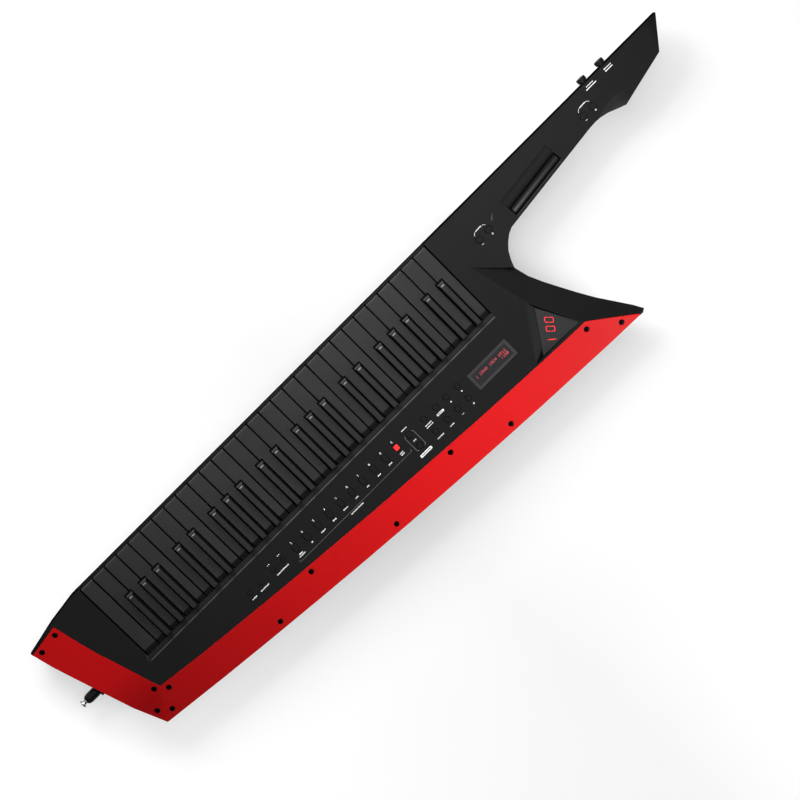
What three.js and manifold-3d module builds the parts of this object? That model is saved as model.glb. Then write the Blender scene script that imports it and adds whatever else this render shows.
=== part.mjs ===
// A keytar: a strap-on keyboard with 49 keys, lying on its back.
// Millimetres. +X runs from the tail to the neck's tip, +Y towards the front ends of the keys,
// +Z out of the playing side. The origin is under the middle of the whole outline, on the back.
import * as THREE from "three";
import { mergeVertices } from "three/addons/utils/BufferGeometryUtils.js";
import { ConvexGeometry } from "three/addons/geometries/ConvexGeometry.js";
import Module from "manifold-3d";

// ---------------------------------------------------------------- driving dimensions
const PANEL_Z = 78; // the playing side's flat top
const SEAM_Z = 54; // where the upper and lower case meet
const GAP = 0.3; // between pieces that touch
const SHELL = 3.0; // case wall
const BLADE_SHEET = 4.2; // depth of the edge blade, measured along Z
const BLADE_SEAT = BLADE_SHEET + GAP; // depth of its seat in the upper case
const BLADE_EDGE_Z = 65; // outer edge of the blade
const FRONT_Y = 141.6; // the long straight wall
const FRONT_IN_Y = 138.8; // its inside

const KEY_PITCH = 23.5; // octave of 164.5 mm
const KEY_COUNT = 29; // white keys
const KEY_X0 = -510.9; // left boundary of the first white key
const KEY_GAP = 1.9;
const KEY_FRONT_Y = 137.9;
const KEY_TOP_Z = 75;
const KEY_BOTTOM_Z = 59;
const NOTCH_Y = 89.5; // where a white key narrows
const LIP_Y = 5.5; // edge of the panel over the keys
const LIP_TOP_Y = -3.0;
const LIP_CHAMFER = [-1.8, 77.3]; // lower edge of the lip's bright chamfer
const LIP_MITRE = 5.6; // how far the lip runs out beside the opening at the tail end
const LIP_Z = 76.2;
const PIVOT_Y = -22; // the keys' hinge line
const PIVOT_Z = 62;
const KEY_TAIL_Y = -28;
const BLACK_TOP_Z = 87;
const BLACK_TIP_Y = 88.4;
const BLACK_TOP_TIP_Y = 82.4;
const BLACK_REAR_Y = 7.6;
const BLACK_BASE = 11.4; // width at the white keys' level
const BLACK_CREST = 9.6; // width on top
const BLACK_GAP = 1.5; // to the white keys beside it
// black keys: [boundary number from the tail, name, offset from that boundary]
const OCTAVE_BLACKS = [
  [2, "a_sharp", -3.05],
  [3, "g_sharp", 0],
  [4, "f_sharp", 3.05],
  [6, "d_sharp", -2.6],
  [7, "c_sharp", 2.35],
];
const WHITE_NAMES = ["c", "b", "a", "g", "f", "e", "d"]; // from the tail towards the neck, going down in pitch

const CAP_Z = 79.2; // button tops
const MAT_Z = [72.2, 74.2]; // carrier sheet under the panel
const SMALL_ROUND = [[-347.9, -34.1], [-327.5, -34.1], [-301.7, -34.1], [-281.7, -34.1]];
const SMALL_ROUND_R = 3.6;
const RECT_X0 = -257.0, RECT_PITCH = 22.27, RECT_Y = -34.6, RECT_W = 8.2, RECT_H = 11.8, RECT_COUNT = 10;
const VALUE = [[-31.1, -35.3], [-31.1, -56.4]];
const VALUE_W = 9.0, VALUE_H = 8.6;
const GRID_X = [-1.1, 22.0, 43.1, 64.7], GRID_Y = [-34.1, -58.0], GRID_R = 4.3;
const PAIR_A = [[231.3, 90.6], [251.0, 91.7]];
const PAIR_B = [[456.1, 110.5], [476.0, 111.2]];
const PAIR_W = 10.6, PAIR_H = 8.4;
const CLEAR = 0.45; // round every button

const KNOBS = [491.4, 526.5]; // X of the two edge knobs
const KNOB_Z = 66, KNOB_R = 7.3, KNOB_END_Y = 150.4, SHAFT_R = 3.0;

const BAR_C = [342.2, 91.0]; // middle of the modulation bar
const BAR_ANGLE = 0.1195; // radians from +X
const BAR_LENGTH = 96.4, BAR_W = 11.6, BAR_BOTTOM_Z = 68, BAR_SIDE_Z = 75.6, BAR_TOP_Z = 79.4;
const BAR_END = BAR_LENGTH / 2 + 2.4; // ends of its trough
const TROUGH_Z = 64.6;
// floor of the touch strip's recess, across the bar: [distance from the bar's middle line, z]
const STRIP_FLOOR = [[6.4, 75.0], [20.8, 76.2], [24.8, PANEL_Z]];

const TEXT_WINDOW = [83.8, 159.6, -62.8, -33.6], TEXT_DEPTH = 1.2;
const SCREWS = [[-611.9, 113.6], [-580.8, 119.0], [-539.6, -34.6], [-559.8, -61.1], [-523.2, -47.8], [-542.9, -74.3],
  [-347.7, -95.8], [-266.0, -74.9], [-133.5, -114.8], [-7.5, -95.4], [81.8, -129.3], [251.8, -108.4], [295.0, -138.7]];
const SCREW_HOLE_R = 4.1;

const PEG_Y = 16.7, PEG_Z = 43.5, PEG_R = 7.5;

// ---------------------------------------------------------------- outline
// The outline runs counter-clockwise seen from +Z. Each entry: [x, y, z of the top edge, then the
// matching point of the back's edge: x, y]. The back's height follows from backZ().
const TAIL_CORNER = [[-624.7, 123.2, BLADE_EDGE_Z, -588, 100]];
const TAIL_Q = [
  [-624.5, 120.0, BLADE_EDGE_Z, -588, 97],
  [-616.8, 86.4, BLADE_EDGE_Z, -582, 77],
  [-608.1, 56.5, BLADE_EDGE_Z, -574, 49],
  [-589.8, -4.9, BLADE_EDGE_Z, -556, -9],
  [-580.8, -35.0, BLADE_EDGE_Z, -547, -33],
];
const CORNER_Q = [[-561.4, -84.0, BLADE_EDGE_Z, -530, -53]];
const LONG_Q = [
  [-459.7, -95.9, BLADE_EDGE_Z, -457, -60],
  [-374.8, -104.8, BLADE_EDGE_Z, -372, -68.5],
  [-289.7, -113.0, BLADE_EDGE_Z, -287, -77],
  [-204.6, -120.6, BLADE_EDGE_Z, -202, -84],
  [-119.4, -127.5, BLADE_EDGE_Z, -117, -91],
  [-34.2, -133.5, BLADE_EDGE_Z, -32, -97],
  [51.1, -138.8, BLADE_EDGE_Z, 50, -102],
  [136.4, -143.5, BLADE_EDGE_Z, 116, -104],
  [207.5, -146.8, BLADE_EDGE_Z, 165, -104],
  [267.3, -149.2, BLADE_EDGE_Z, 222, -115],
  [320.1, -150.9, 63.5, 292, -140],
];
const TIP = [
  [327.2, -151.6, 62.5, 304, -143],
  [332.4, -148.2, 62.5, 307, -140.5],
];
const HORN = [
  [325.1, -135.1, 62.5, 301, -131],
  [309.4, -111.6, 64.5, 280, -107],
  [293.8, -88.2, 66.5, 262, -84],
  [280.4, -64.9, 67, 247, -61],
  [268.1, -41.9, 67.3, 234, -39],
  [256.1, -18.8, 67.5, 222, -18],
  [245.9, 3.6, 68.2, 210, 2],
  [240.4, 24.8, 68.5, 201.4, 19.8],
];
const CROTCH = [
  [239.6, 27.9, PANEL_Z, 200, 22],
  [244.0, 39.4, PANEL_Z, 210, 37],
  [250.3, 50.7, PANEL_Z, 222, 53],
  [258.1, 59.2, PANEL_Z, 236, 68],
  [267.4, 66.8, PANEL_Z, 254, 80],
  [276.4, 71.0, PANEL_Z, 268, 85],
];
const NECK_LOW = [
  [290.4, 72.6, PANEL_Z, 288, 86.3],
  [343.6, 79.0, PANEL_Z, 342, 92.8],
  [396.9, 85.4, PANEL_Z, 396, 99.2],
  [452.1, 91.8, PANEL_Z, 452, 105.1],
];
const HEADSTOCK = [
  [463.2, 92.4, PANEL_Z, 464, 106],
  [473.3, 91.5, 76.6, 475, 105],
  [486.3, 88.2, 74.0, 489, 102.2],
  [499.4, 82.7, 71.4, 503, 97.8],
  [513.1, 77.6, 69.5, 516, 95],
  [531.5, 83.6, PANEL_Z, 530, 98.5],
  [596.2, 98.8, PANEL_Z, 580, 110],
  [631.1, FRONT_Y, 72, 602, 127],
];
const STRAIGHT = [
  [606.5, FRONT_Y, PANEL_Z, 590, 127],
  [500, FRONT_Y, PANEL_Z, 500, 127],
  [396, FRONT_Y, PANEL_Z, 396, 127],
  [268, FRONT_Y, PANEL_Z, 268, 126],
  [200, FRONT_Y, PANEL_Z, 200, 118],
  [-160, FRONT_Y, PANEL_Z, -160, 118],
  [-525.5, FRONT_Y, PANEL_Z, -525.5, 118],
  [-572.6, 134.9, PANEL_Z, -560, 112],
];
const OUTLINE = [...TAIL_CORNER, ...TAIL_Q, ...CORNER_Q, ...LONG_Q, ...TIP, ...HORN, ...CROTCH, ...NECK_LOW, ...HEADSTOCK, ...STRAIGHT];
const N = OUTLINE.length;
const at = (list, i = 0) => OUTLINE.indexOf(list[i]);

// inner line of the edge blade, point for point with TAIL_Q, CORNER_Q and LONG_Q
const BLADE_IN = [
  [-572.7, 129.1, PANEL_Z],
  [-564.5, 88.2, PANEL_Z],
  [-557.6, 59.8, PANEL_Z],
  [-539.9, -1.3, PANEL_Z],
  [-535.0, -19.8, PANEL_Z],
  [-529.5, -36.9, PANEL_Z],
  [-457.0, -46.3, PANEL_Z],
  [-372.5, -55.2, PANEL_Z],
  [-288.0, -63.5, PANEL_Z],
  [-203.4, -70.8, PANEL_Z],
  [-118.7, -77.7, PANEL_Z],
  [-34.0, -83.5, PANEL_Z],
  [50.7, -89.0, PANEL_Z],
  [135.5, -93.5, PANEL_Z],
  [206.2, -96.8, PANEL_Z],
  [258.1, -98.2, PANEL_Z],
  [322.9, -148.9, 63.5],
];
const BLADE_OUT = [...TAIL_Q, ...CORNER_Q, ...LONG_Q];

// ridge of the sloping facet beside the hand gap, from its top down to the blade
const RIDGE = [
  [195.2, 71.6, PANEL_Z],
  [203.8, 41.0, PANEL_Z],
  [208.4, 21.9, PANEL_Z],
  [216.2, -11.3, PANEL_Z],
  [224.3, -32.7, PANEL_Z],
  [237.9, -61.3, PANEL_Z],
  [252.1, -90.1, PANEL_Z],
];
// inner edge of the scoop in the headstock
const SCOOP = [
  [484, 98.6, PANEL_Z],
  [505, 101.0, PANEL_Z],
  [521, 97.0, PANEL_Z],
];

// height of the back at a point of its edge: flat under the body, rising to the horn and the neck
function backZ(x, y) {
  if (y > 20) {
    if (x <= 200) return 0;
    if (x <= 268) return 0.5 * (x - 200);
    if (x <= 452) return 34;
    return 34 + 0.07 * (x - 452);
  }
  const d = (x - 165) * 0.9615 - (y + 104) * 0.2747;
  return Math.max(0, 0.3 * d);
}

// ---------------------------------------------------------------- solids
const wasm = await Module();
wasm.setup();

function solid(geometry) {
  const g = geometry.index ? geometry.toNonIndexed() : geometry.clone();
  g.deleteAttribute("normal");
  if (g.getAttribute("uv")) g.deleteAttribute("uv");
  const m = mergeVertices(g, 1e-4);
  return new wasm.Manifold(
    new wasm.Mesh({
      numProp: 3,
      vertProperties: new Float32Array(m.attributes.position.array),
      triVerts: new Uint32Array(m.index.array),
    }),
  );
}
function geometryOf(made) {
  const m = made.getMesh();
  const n = m.numProp;
  const v = new Float32Array(m.numVert * 3);
  for (let i = 0; i < m.numVert; i++) {
    v.set(m.vertProperties.subarray(i * n, i * n + 3), i * 3);
  }
  const g = new THREE.BufferGeometry()
    .setAttribute("position", new THREE.BufferAttribute(v, 3))
    .setIndex(new THREE.BufferAttribute(new Uint32Array(m.triVerts), 1));
  const flat = g.toNonIndexed();
  flat.computeVertexNormals();
  return flat;
}
// closed surface from vertices and polygons; each polygon is cut into triangles in plan
function polyhedron(vertices, polygons) {
  const out = [];
  const put = (i) => out.push(...vertices[i]);
  for (const p of polygons) {
    if (p.length === 3) {
      p.forEach(put);
      continue;
    }
    if (p.length === 4 && !p.plan) {
      [p[0], p[1], p[2], p[0], p[2], p[3]].forEach(put);
      continue;
    }
    const flip = p.flip === true;
    const contour = p.map((i) => new THREE.Vector2(vertices[i][0], vertices[i][1]));
    const ring = flip ? contour.slice().reverse() : contour;
    const ids = flip ? p.slice().reverse() : p;
    for (const [a, b, c] of THREE.ShapeUtils.triangulateShape(ring, [])) {
      (flip ? [ids[a], ids[c], ids[b]] : [ids[a], ids[b], ids[c]]).forEach(put);
    }
  }
  return new THREE.BufferGeometry().setAttribute("position", new THREE.Float32BufferAttribute(out, 3));
}
const plan = (list, flip = false) => Object.assign([...list], { plan: true, flip });
function prism(points, z0, z1) {
  const shape = new THREE.Shape(points.map(([x, y]) => new THREE.Vector2(x, y)));
  const g = new THREE.ExtrudeGeometry(shape, { depth: z1 - z0, bevelEnabled: false });
  g.translate(0, 0, z0);
  return g;
}
// profile of [y, z] points drawn out along X
function profileAlongX(points, x0, x1) {
  const shape = new THREE.Shape(points.map(([y, z]) => new THREE.Vector2(y, z)));
  const g = new THREE.ExtrudeGeometry(shape, { depth: x1 - x0, bevelEnabled: false });
  g.applyMatrix4(new THREE.Matrix4().makeBasis(new THREE.Vector3(0, 1, 0), new THREE.Vector3(0, 0, 1), new THREE.Vector3(1, 0, 0)));
  g.translate(x0, 0, 0);
  return g;
}
function box(x0, x1, y0, y1, z0, z1) {
  const g = new THREE.BoxGeometry(x1 - x0, y1 - y0, z1 - z0);
  g.translate((x0 + x1) / 2, (y0 + y1) / 2, (z0 + z1) / 2);
  return g;
}
function drum(x, y, z0, z1, r, sides) {
  const g = new THREE.CylinderGeometry(r, r, z1 - z0, sides);
  g.rotateX(Math.PI / 2);
  g.translate(x, y, (z0 + z1) / 2);
  return g;
}
function roundedRect(x, y, w, h, r) {
  const s = 0.42 * r;
  const a = w / 2, b = h / 2;
  return [
    [x - a + r, y - b], [x + a - r, y - b], [x + a - s, y - b + s], [x + a, y - b + r],
    [x + a, y + b - r], [x + a - s, y + b - s], [x + a - r, y + b], [x - a + r, y + b],
    [x - a + s, y + b - s], [x - a, y + b - r], [x - a, y - b + r], [x - a + s, y - b + s],
  ];
}
const union = (list) => list.reduce((a, b) => a.add(b));

// ---------------------------------------------------------------- upper case
// Top surface over the outline: panel, blade facets, facet beside the hand gap, scoop, tip.
const inId = (i) => N + i; // BLADE_IN
const ridgeId = (i) => N + BLADE_IN.length + i;
const scoopId = (i) => N + BLADE_IN.length + RIDGE.length + i;
const TOP_VERTICES = [...OUTLINE.map((p) => p.slice(0, 3)), ...BLADE_IN, ...RIDGE, ...SCOOP];

function topPolygons() {
  const polys = [];
  const lastIn = BLADE_IN.length - 1;
  const outId = (i) => OUTLINE.indexOf(BLADE_OUT[i]);
  for (let i = 0; i < lastIn; i++) polys.push([inId(i), outId(i), outId(i + 1), inId(i + 1)]);
  // black rim past the blade's tail end
  const rimIn = N - 1, corner = at(TAIL_CORNER);
  polys.push([inId(0), rimIn, corner, outId(0)]);
  // tip of the horn
  polys.push([inId(lastIn), outId(lastIn), at(TIP, 0)], [inId(lastIn), at(TIP, 0), at(TIP, 1)]);
  // facet beside the hand gap
  const left = [inId(lastIn), inId(lastIn - 1), ...[6, 5, 4, 3, 2, 1, 0].map(ridgeId)];
  const right = [at(TIP, 1), ...HORN.map((p) => OUTLINE.indexOf(p)), at(CROTCH)];
  // left: tip, blade corner, then the ridge upwards; right: tip, horn upwards, crotch
  const pairs = [[0, 0], [0, 1], [1, 2], [2, 3], [3, 4], [4, 5], [5, 6], [6, 7], [7, 8], [8, 8], [8, 9]];
  for (let k = 0; k + 1 < pairs.length; k++) {
    const [l0, r0] = pairs[k], [l1, r1] = pairs[k + 1];
    if (l0 === l1) polys.push([left[l0], right[r0], right[r1]]);
    else if (r0 === r1) polys.push([left[l0], right[r0], left[l1]]);
    else polys.push([left[l0], right[r0], right[r1], left[l1]]);
  }
  // fan down to the crotch
  for (let k = 0; k + 1 < CROTCH.length; k++) polys.push([ridgeId(0), at(CROTCH, k), at(CROTCH, k + 1)]);
  // scoop
  const h = HEADSTOCK.map((p) => OUTLINE.indexOf(p));
  polys.push([h[0], h[1], scoopId(0)], [h[1], h[2], scoopId(0)], [h[2], h[3], scoopId(0)], [scoopId(0), h[3], scoopId(1)],
    [h[3], h[4], scoopId(1)], [scoopId(1), h[4], scoopId(2)], [scoopId(2), h[4], h[5]]);
  // tip of the neck
  const s = STRAIGHT.map((p) => OUTLINE.indexOf(p));
  polys.push([h[6], h[7], s[0]]);
  // the flat panel
  const flat = [
    ...BLADE_IN.slice(0, lastIn).map((_, i) => inId(i)),
    ...[6, 5, 4, 3, 2, 1, 0].map(ridgeId),
    at(CROTCH, CROTCH.length - 1),
    ...NECK_LOW.map((p) => OUTLINE.indexOf(p)),
    h[0],
    ...SCOOP.map((_, i) => scoopId(i)),
    h[5],
    h[6],
    ...s,
  ];
  return { polys, flat };
}
const TOP = topPolygons();

function topSolid(dz, bottomZ, moveOutline) {
  const upper = TOP_VERTICES.map(([x, y, z], i) => {
    const [mx, my] = i < N ? moveOutline(i) : [x, y];
    return [mx, my, z + dz];
  });
  const total = upper.length;
  const lower = upper.slice(0, N).map(([x, y]) => [x, y, bottomZ]);
  const polys = [...TOP.polys, plan(TOP.flat)];
  for (let i = 0; i < N; i++) {
    const j = (i + 1) % N;
    polys.push([i, total + i, total + j], [i, total + j, j]);
  }
  polys.push(plan([...Array(N).keys()].map((i) => total + i).reverse(), true));
  return solid(polyhedron([...upper, ...lower], polys));
}
const keepOutline = (i) => OUTLINE[i];
// the inside of the wall: each outline point moves towards the matching point of the back's edge
function insideOutline(i) {
  const [x, y, , bx, by] = OUTLINE[i];
  if (Math.abs(y - FRONT_Y) < 0.01) return [x, FRONT_IN_Y];
  const l = Math.hypot(bx - x, by - y);
  const d = 4.2;
  return [x + ((bx - x) / l) * d, y + ((by - y) / l) * d];
}

// sheet parallel to the blade's facets, from dz0 to dz1 above them; inset from the inner line,
// and with a margin beyond the outline where it's used as a cutter
function bladeSheet(dz0, dz1, insetBy, margin) {
  const lines = BLADE_IN.map((p, i) => {
    const q = BLADE_OUT[i];
    const l = Math.hypot(q[0] - p[0], q[1] - p[1]);
    const p2 = [0, 1, 2].map((k) => p[k] + (insetBy / l) * (q[k] - p[k]));
    const dir = i === BLADE_IN.length - 1 ? [-0.3, -1] : [(q[0] - p[0]) / l, (q[1] - p[1]) / l];
    const row = [p2, q.slice(0, 3)];
    if (margin) row.push([q[0] + dir[0] * margin, q[1] + dir[1] * margin, q[2]]);
    return row;
  });
  const n = lines.length, rows = lines[0].length;
  const vertices = [];
  for (const dz of [dz1, dz0]) {
    for (let r = 0; r < rows; r++) for (const l of lines) vertices.push([l[r][0], l[r][1], l[r][2] + dz]);
  }
  const T = (r, i) => r * n + i, B = (r, i) => (rows + r) * n + i;
  const last = rows - 1;
  const polys = [];
  for (let i = 0; i + 1 < n; i++) {
    for (let r = 0; r < last; r++) {
      polys.push([T(r, i), T(r + 1, i), T(r + 1, i + 1)], [T(r, i), T(r + 1, i + 1), T(r, i + 1)]);
      polys.push([B(r, i), B(r + 1, i + 1), B(r + 1, i)], [B(r, i), B(r, i + 1), B(r + 1, i + 1)]);
    }
    polys.push([T(last, i), B(last, i), B(last, i + 1), T(last, i + 1)]);
    polys.push([T(0, i), T(0, i + 1), B(0, i + 1), B(0, i)]);
  }
  for (let r = 0; r < last; r++) {
    polys.push([T(r, 0), B(r, 0), B(r + 1, 0), T(r + 1, 0)]);
    polys.push([T(r, n - 1), T(r + 1, n - 1), B(r + 1, n - 1), B(r, n - 1)]);
  }
  return polyhedron(vertices, polys);
}

const OPEN_X = [KEY_X0 - 0.5, KEY_X0 + KEY_COUNT * KEY_PITCH + 1.1];
const barTurn = (g) => {
  g.rotateZ(BAR_ANGLE);
  g.translate(BAR_C[0], BAR_C[1], 0);
  return g;
};
const TRI = { top: [216.3, -17.7], left: [165.8, -92.8], right: [252.0, -93.2], valleyTop: [220.3, -33.4, 73.4], valleyLow: [181.8, -92.87, 70.8] };

function buttonHoles() {
  const list = [];
  const z = [60, 90];
  for (const [x, y] of SMALL_ROUND) list.push(drum(x, y, ...z, SMALL_ROUND_R + CLEAR, 28));
  for (let i = 0; i < RECT_COUNT; i++) {
    list.push(prism(roundedRect(RECT_X0 + i * RECT_PITCH, RECT_Y, RECT_W + 2 * CLEAR, RECT_H + 2 * CLEAR, 1.4), ...z));
  }
  for (const [x, y] of VALUE) list.push(prism(roundedRect(x, y, VALUE_W + 2 * CLEAR, VALUE_H + 2 * CLEAR, 2.4), ...z));
  for (const y of GRID_Y) for (const x of GRID_X) list.push(drum(x, y, ...z, GRID_R + CLEAR, 28));
  for (const [x, y] of [...PAIR_A, ...PAIR_B]) list.push(prism(roundedRect(x, y, PAIR_W + 2 * CLEAR, PAIR_H + 2 * CLEAR, 2.4), ...z));
  return list.map(solid);
}

function upperCase() {
  let outer = topSolid(0, SEAM_Z, keepOutline);
  outer = outer.subtract(solid(bladeSheet(-BLADE_SEAT, 30, 0, 22)));

  // inside: everything 7.5 mm under the top surface, and more room right under the flat panel
  let inside = topSolid(-(BLADE_SEAT + SHELL), 40, insideOutline);
  const panelInside = TOP.flat.map((id) => TOP_VERTICES[id]);
  let room = solid(prism(inset(panelInside, 3.4), 45, PANEL_Z - SHELL));
  const barBlock = barTurn(box(-58, 58, -30, 33, 61.5, 90));
  room = room.subtract(solid(barBlock.clone()));
  room = room.subtract(solid(prism([[160, -110], [262, -110], [262, -60], [216, -6], [206, -6]], 67, 90)));
  inside = inside.add(room).subtract(solid(barBlock));
  // solid ends: horn tip, neck tip, tail corner
  inside = inside.subtract(solid(box(276, 345, -160, -96, 30, 90)));
  inside = inside.subtract(solid(box(588, 640, 60, 150, 30, 90)));
  inside = inside.subtract(solid(box(-640, -596, 90, 150, 30, 90)));
  inside = inside.subtract(solid(box(490, 540, 60, 96, 30, 90)));
  let made = outer.subtract(inside);

  // keys: opening, low rail before them, sloping lip behind them
  made = made.subtract(solid(box(OPEN_X[0], OPEN_X[1], LIP_Y, FRONT_IN_Y, 45, 95)));
  made = made.subtract(solid(box(OPEN_X[0], OPEN_X[1], 120, FRONT_Y + 5, 65, 95)));
  made = made.subtract(solid(profileAlongX([[LIP_TOP_Y, PANEL_Z], LIP_CHAMFER, [LIP_Y + 0.2, LIP_Z], [LIP_Y + 0.2, PANEL_Z + 3], [LIP_TOP_Y, PANEL_Z + 3]], OPEN_X[0], OPEN_X[1])));
  const mitre = [[OPEN_X[0] + 0.4, LIP_Y, LIP_Z], [OPEN_X[0] + 0.4, LIP_Y + 7, PANEL_Z], [OPEN_X[0] - LIP_MITRE, LIP_TOP_Y, PANEL_Z], [OPEN_X[0] + 0.4, LIP_TOP_Y, PANEL_Z]];
  made = made.subtract(solid(new ConvexGeometry(mitre.flatMap(([x, y, z]) => [new THREE.Vector3(x, y, z), new THREE.Vector3(x, y, PANEL_Z + 4)]))));
  made = made.subtract(solid(box(OPEN_X[0], OPEN_X[1], LIP_TOP_Y - 20, LIP_Y + 0.2, 45, PANEL_Z - SHELL + 0.4)));

  // ribbon slope and the modulation bar's trough
  const rib = profileAlongX([...STRIP_FLOOR, [STRIP_FLOOR[2][0], 84], [STRIP_FLOOR[0][0], 84]], -BAR_END, BAR_END);
  made = made.subtract(solid(barTurn(rib)));
  made = made.subtract(solid(barTurn(box(-BAR_END, BAR_END, -BAR_W / 2 - 1.0, STRIP_FLOOR[0][0] + 0.1, TROUGH_Z, 90))));

  // windows
  made = made.subtract(solid(box(...TEXT_WINDOW, PANEL_Z - TEXT_DEPTH, 90)));
  const t = TRI;
  const tri = [...[t.top, t.left, t.right].flatMap(([x, y]) => [[x, y, PANEL_Z], [x, y, 86]]), t.valleyTop, t.valleyLow];
  made = made.subtract(solid(new ConvexGeometry(tri.map((p) => new THREE.Vector3(...p)))));

  for (const hole of buttonHoles()) made = made.subtract(hole);
  for (const x of KNOBS) {
    const g = new THREE.CylinderGeometry(SHAFT_R + 0.35, SHAFT_R + 0.35, 20, 14);
    g.translate(x, FRONT_Y, KNOB_Z);
    made = made.subtract(solid(g));
  }
  return geometryOf(made);
}
// a closed counter-clockwise ring moved inwards by d
function inset(ring, d) {
  const n = ring.length;
  return ring.map((p, i) => {
    const a = ring[(i + n - 1) % n], b = ring[(i + 1) % n];
    const u = new THREE.Vector2(p[0] - a[0], p[1] - a[1]).normalize();
    const v = new THREE.Vector2(b[0] - p[0], b[1] - p[1]).normalize();
    const nu = new THREE.Vector2(-u.y, u.x), nv = new THREE.Vector2(-v.y, v.x);
    const m = nu.clone().add(nv).normalize();
    const k = d / Math.max(0.45, m.dot(nu));
    return [p[0] + m.x * k, p[1] + m.y * k];
  });
}

// ---------------------------------------------------------------- lower case
const STEPS = [[0, 0], [0.07, 0.28], [0.3, 0.68], [0.62, 0.91], [1, 1]]; // inward share, downward share
const BACK_BODY = OUTLINE.map((p, i) => [i, p]).filter(([, p]) => backZ(p[3], p[4]) < 1e-6).map(([i]) => i);
function trayPolygons() {
  const ids = (list) => list.map((p) => OUTLINE.indexOf(p));
  const horn = [...ids(LONG_Q.slice(8)), ...ids(TIP), ...ids(HORN), at(CROTCH)];
  const neckRamp = [...ids(CROTCH), OUTLINE.indexOf(STRAIGHT[3]), OUTLINE.indexOf(STRAIGHT[4])];
  const neck = [at(CROTCH, CROTCH.length - 1), ...ids(NECK_LOW), OUTLINE.indexOf(HEADSTOCK[0]), OUTLINE.indexOf(STRAIGHT[1]), OUTLINE.indexOf(STRAIGHT[2]), OUTLINE.indexOf(STRAIGHT[3])];
  const head = [...ids(HEADSTOCK), OUTLINE.indexOf(STRAIGHT[0]), OUTLINE.indexOf(STRAIGHT[1])];
  return [BACK_BODY, horn, neckRamp, neck, head];
}
function tray(topZ, side, lift) {
  const vertices = [];
  for (const [t, g] of STEPS) {
    OUTLINE.forEach((p, i) => {
      const [x, y] = side(i);
      const bz = backZ(p[3], p[4]);
      const z = g === 0 ? topZ : SEAM_Z - GAP - g * (SEAM_Z - GAP - bz) + lift;
      vertices.push([x + t * (p[3] - x), y + t * (p[4] - y), z]);
    });
  }
  const polys = [plan([...Array(N).keys()])];
  for (let k = 0; k + 1 < STEPS.length; k++) {
    for (let i = 0; i < N; i++) {
      const j = (i + 1) % N;
      const a = k * N + i, b = k * N + j, c = (k + 1) * N + j, d = (k + 1) * N + i;
      polys.push([a, d, c], [a, c, b]);
    }
  }
  const base = (STEPS.length - 1) * N;
  for (const p of trayPolygons()) polys.push(plan(p.map((i) => base + i).reverse(), true));
  return solid(polyhedron(vertices, polys));
}
const BATTERY = [-120, 70, -70, 6]; // recess for the battery cover
const SOCKETS = [-436, -276, -44, -10]; // recess for the socket plate
const CASE_SCREWS = [[-520, 88], [-300, 100], [-60, 100], [160, 100], [-490, -20], [-210, -52], [-150, -20], [100, -30], [196, -84], [110, -84]]; // counterbores in the back
const CASE_SCREW_R = 3.6;
const NECK_BUTTON = [312, 108];
function lowerCase() {
  const outer = tray(SEAM_Z - GAP, keepOutline, 0);
  let inner = tray(SEAM_Z + 12, insideOutline, 3.2);
  inner = inner.subtract(solid(box(262, 345, -160, -84, -5, 90)));
  inner = inner.subtract(solid(box(578, 640, 60, 150, -5, 90)));
  inner = inner.subtract(solid(box(-640, -590, 84, 150, -5, 90)));
  // floors of the two recesses and the strap peg's boss
  inner = inner.subtract(solid(box(BATTERY[0] - 4, BATTERY[1] + 4, BATTERY[2] - 4, BATTERY[3] + 4, -5, 5.4)));
  inner = inner.subtract(solid(box(SOCKETS[0] - 4, SOCKETS[1] + 4, SOCKETS[2] - 4, SOCKETS[3] + 4, -5, 6.6)));
  inner = inner.subtract(solid(box(-600, -576, PEG_Y - 12, PEG_Y + 12, 30, 56)));
  let made = outer.add(solid(box(-599.4, -578, PEG_Y - 9.5, PEG_Y + 9.5, PEG_Z - 9.5, PEG_Z + 9.5))).subtract(inner);
  made = made.subtract(solid(box(BATTERY[0], BATTERY[1], BATTERY[2], BATTERY[3], -5, 2.4)));
  made = made.subtract(solid(box(SOCKETS[0], SOCKETS[1], SOCKETS[2], SOCKETS[3], -5, 3.6)));
  for (const [x, y] of CASE_SCREWS) made = made.subtract(solid(drum(x, y, -5, 2.2, CASE_SCREW_R, 16)));
  // second strap button, under the root of the neck
  const [bx, by] = NECK_BUTTON;
  for (const [z0, z1, r] of [[33.2, 36.5, 7.5], [24.2, 33.6, 3.4], [21.6, 24.4, 6.0]]) made = made.add(solid(drum(bx, by, z0, z1, r, 20)));
  return geometryOf(made);
}

// ---------------------------------------------------------------- edge blade
function edgeBlade() {
  let made = solid(bladeSheet(-BLADE_SHEET, 0, GAP, 0));
  for (const [x, y] of SCREWS) made = made.subtract(solid(drum(x, y, 50, 90, SCREW_HOLE_R, 24)));
  return geometryOf(made);
}

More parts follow.
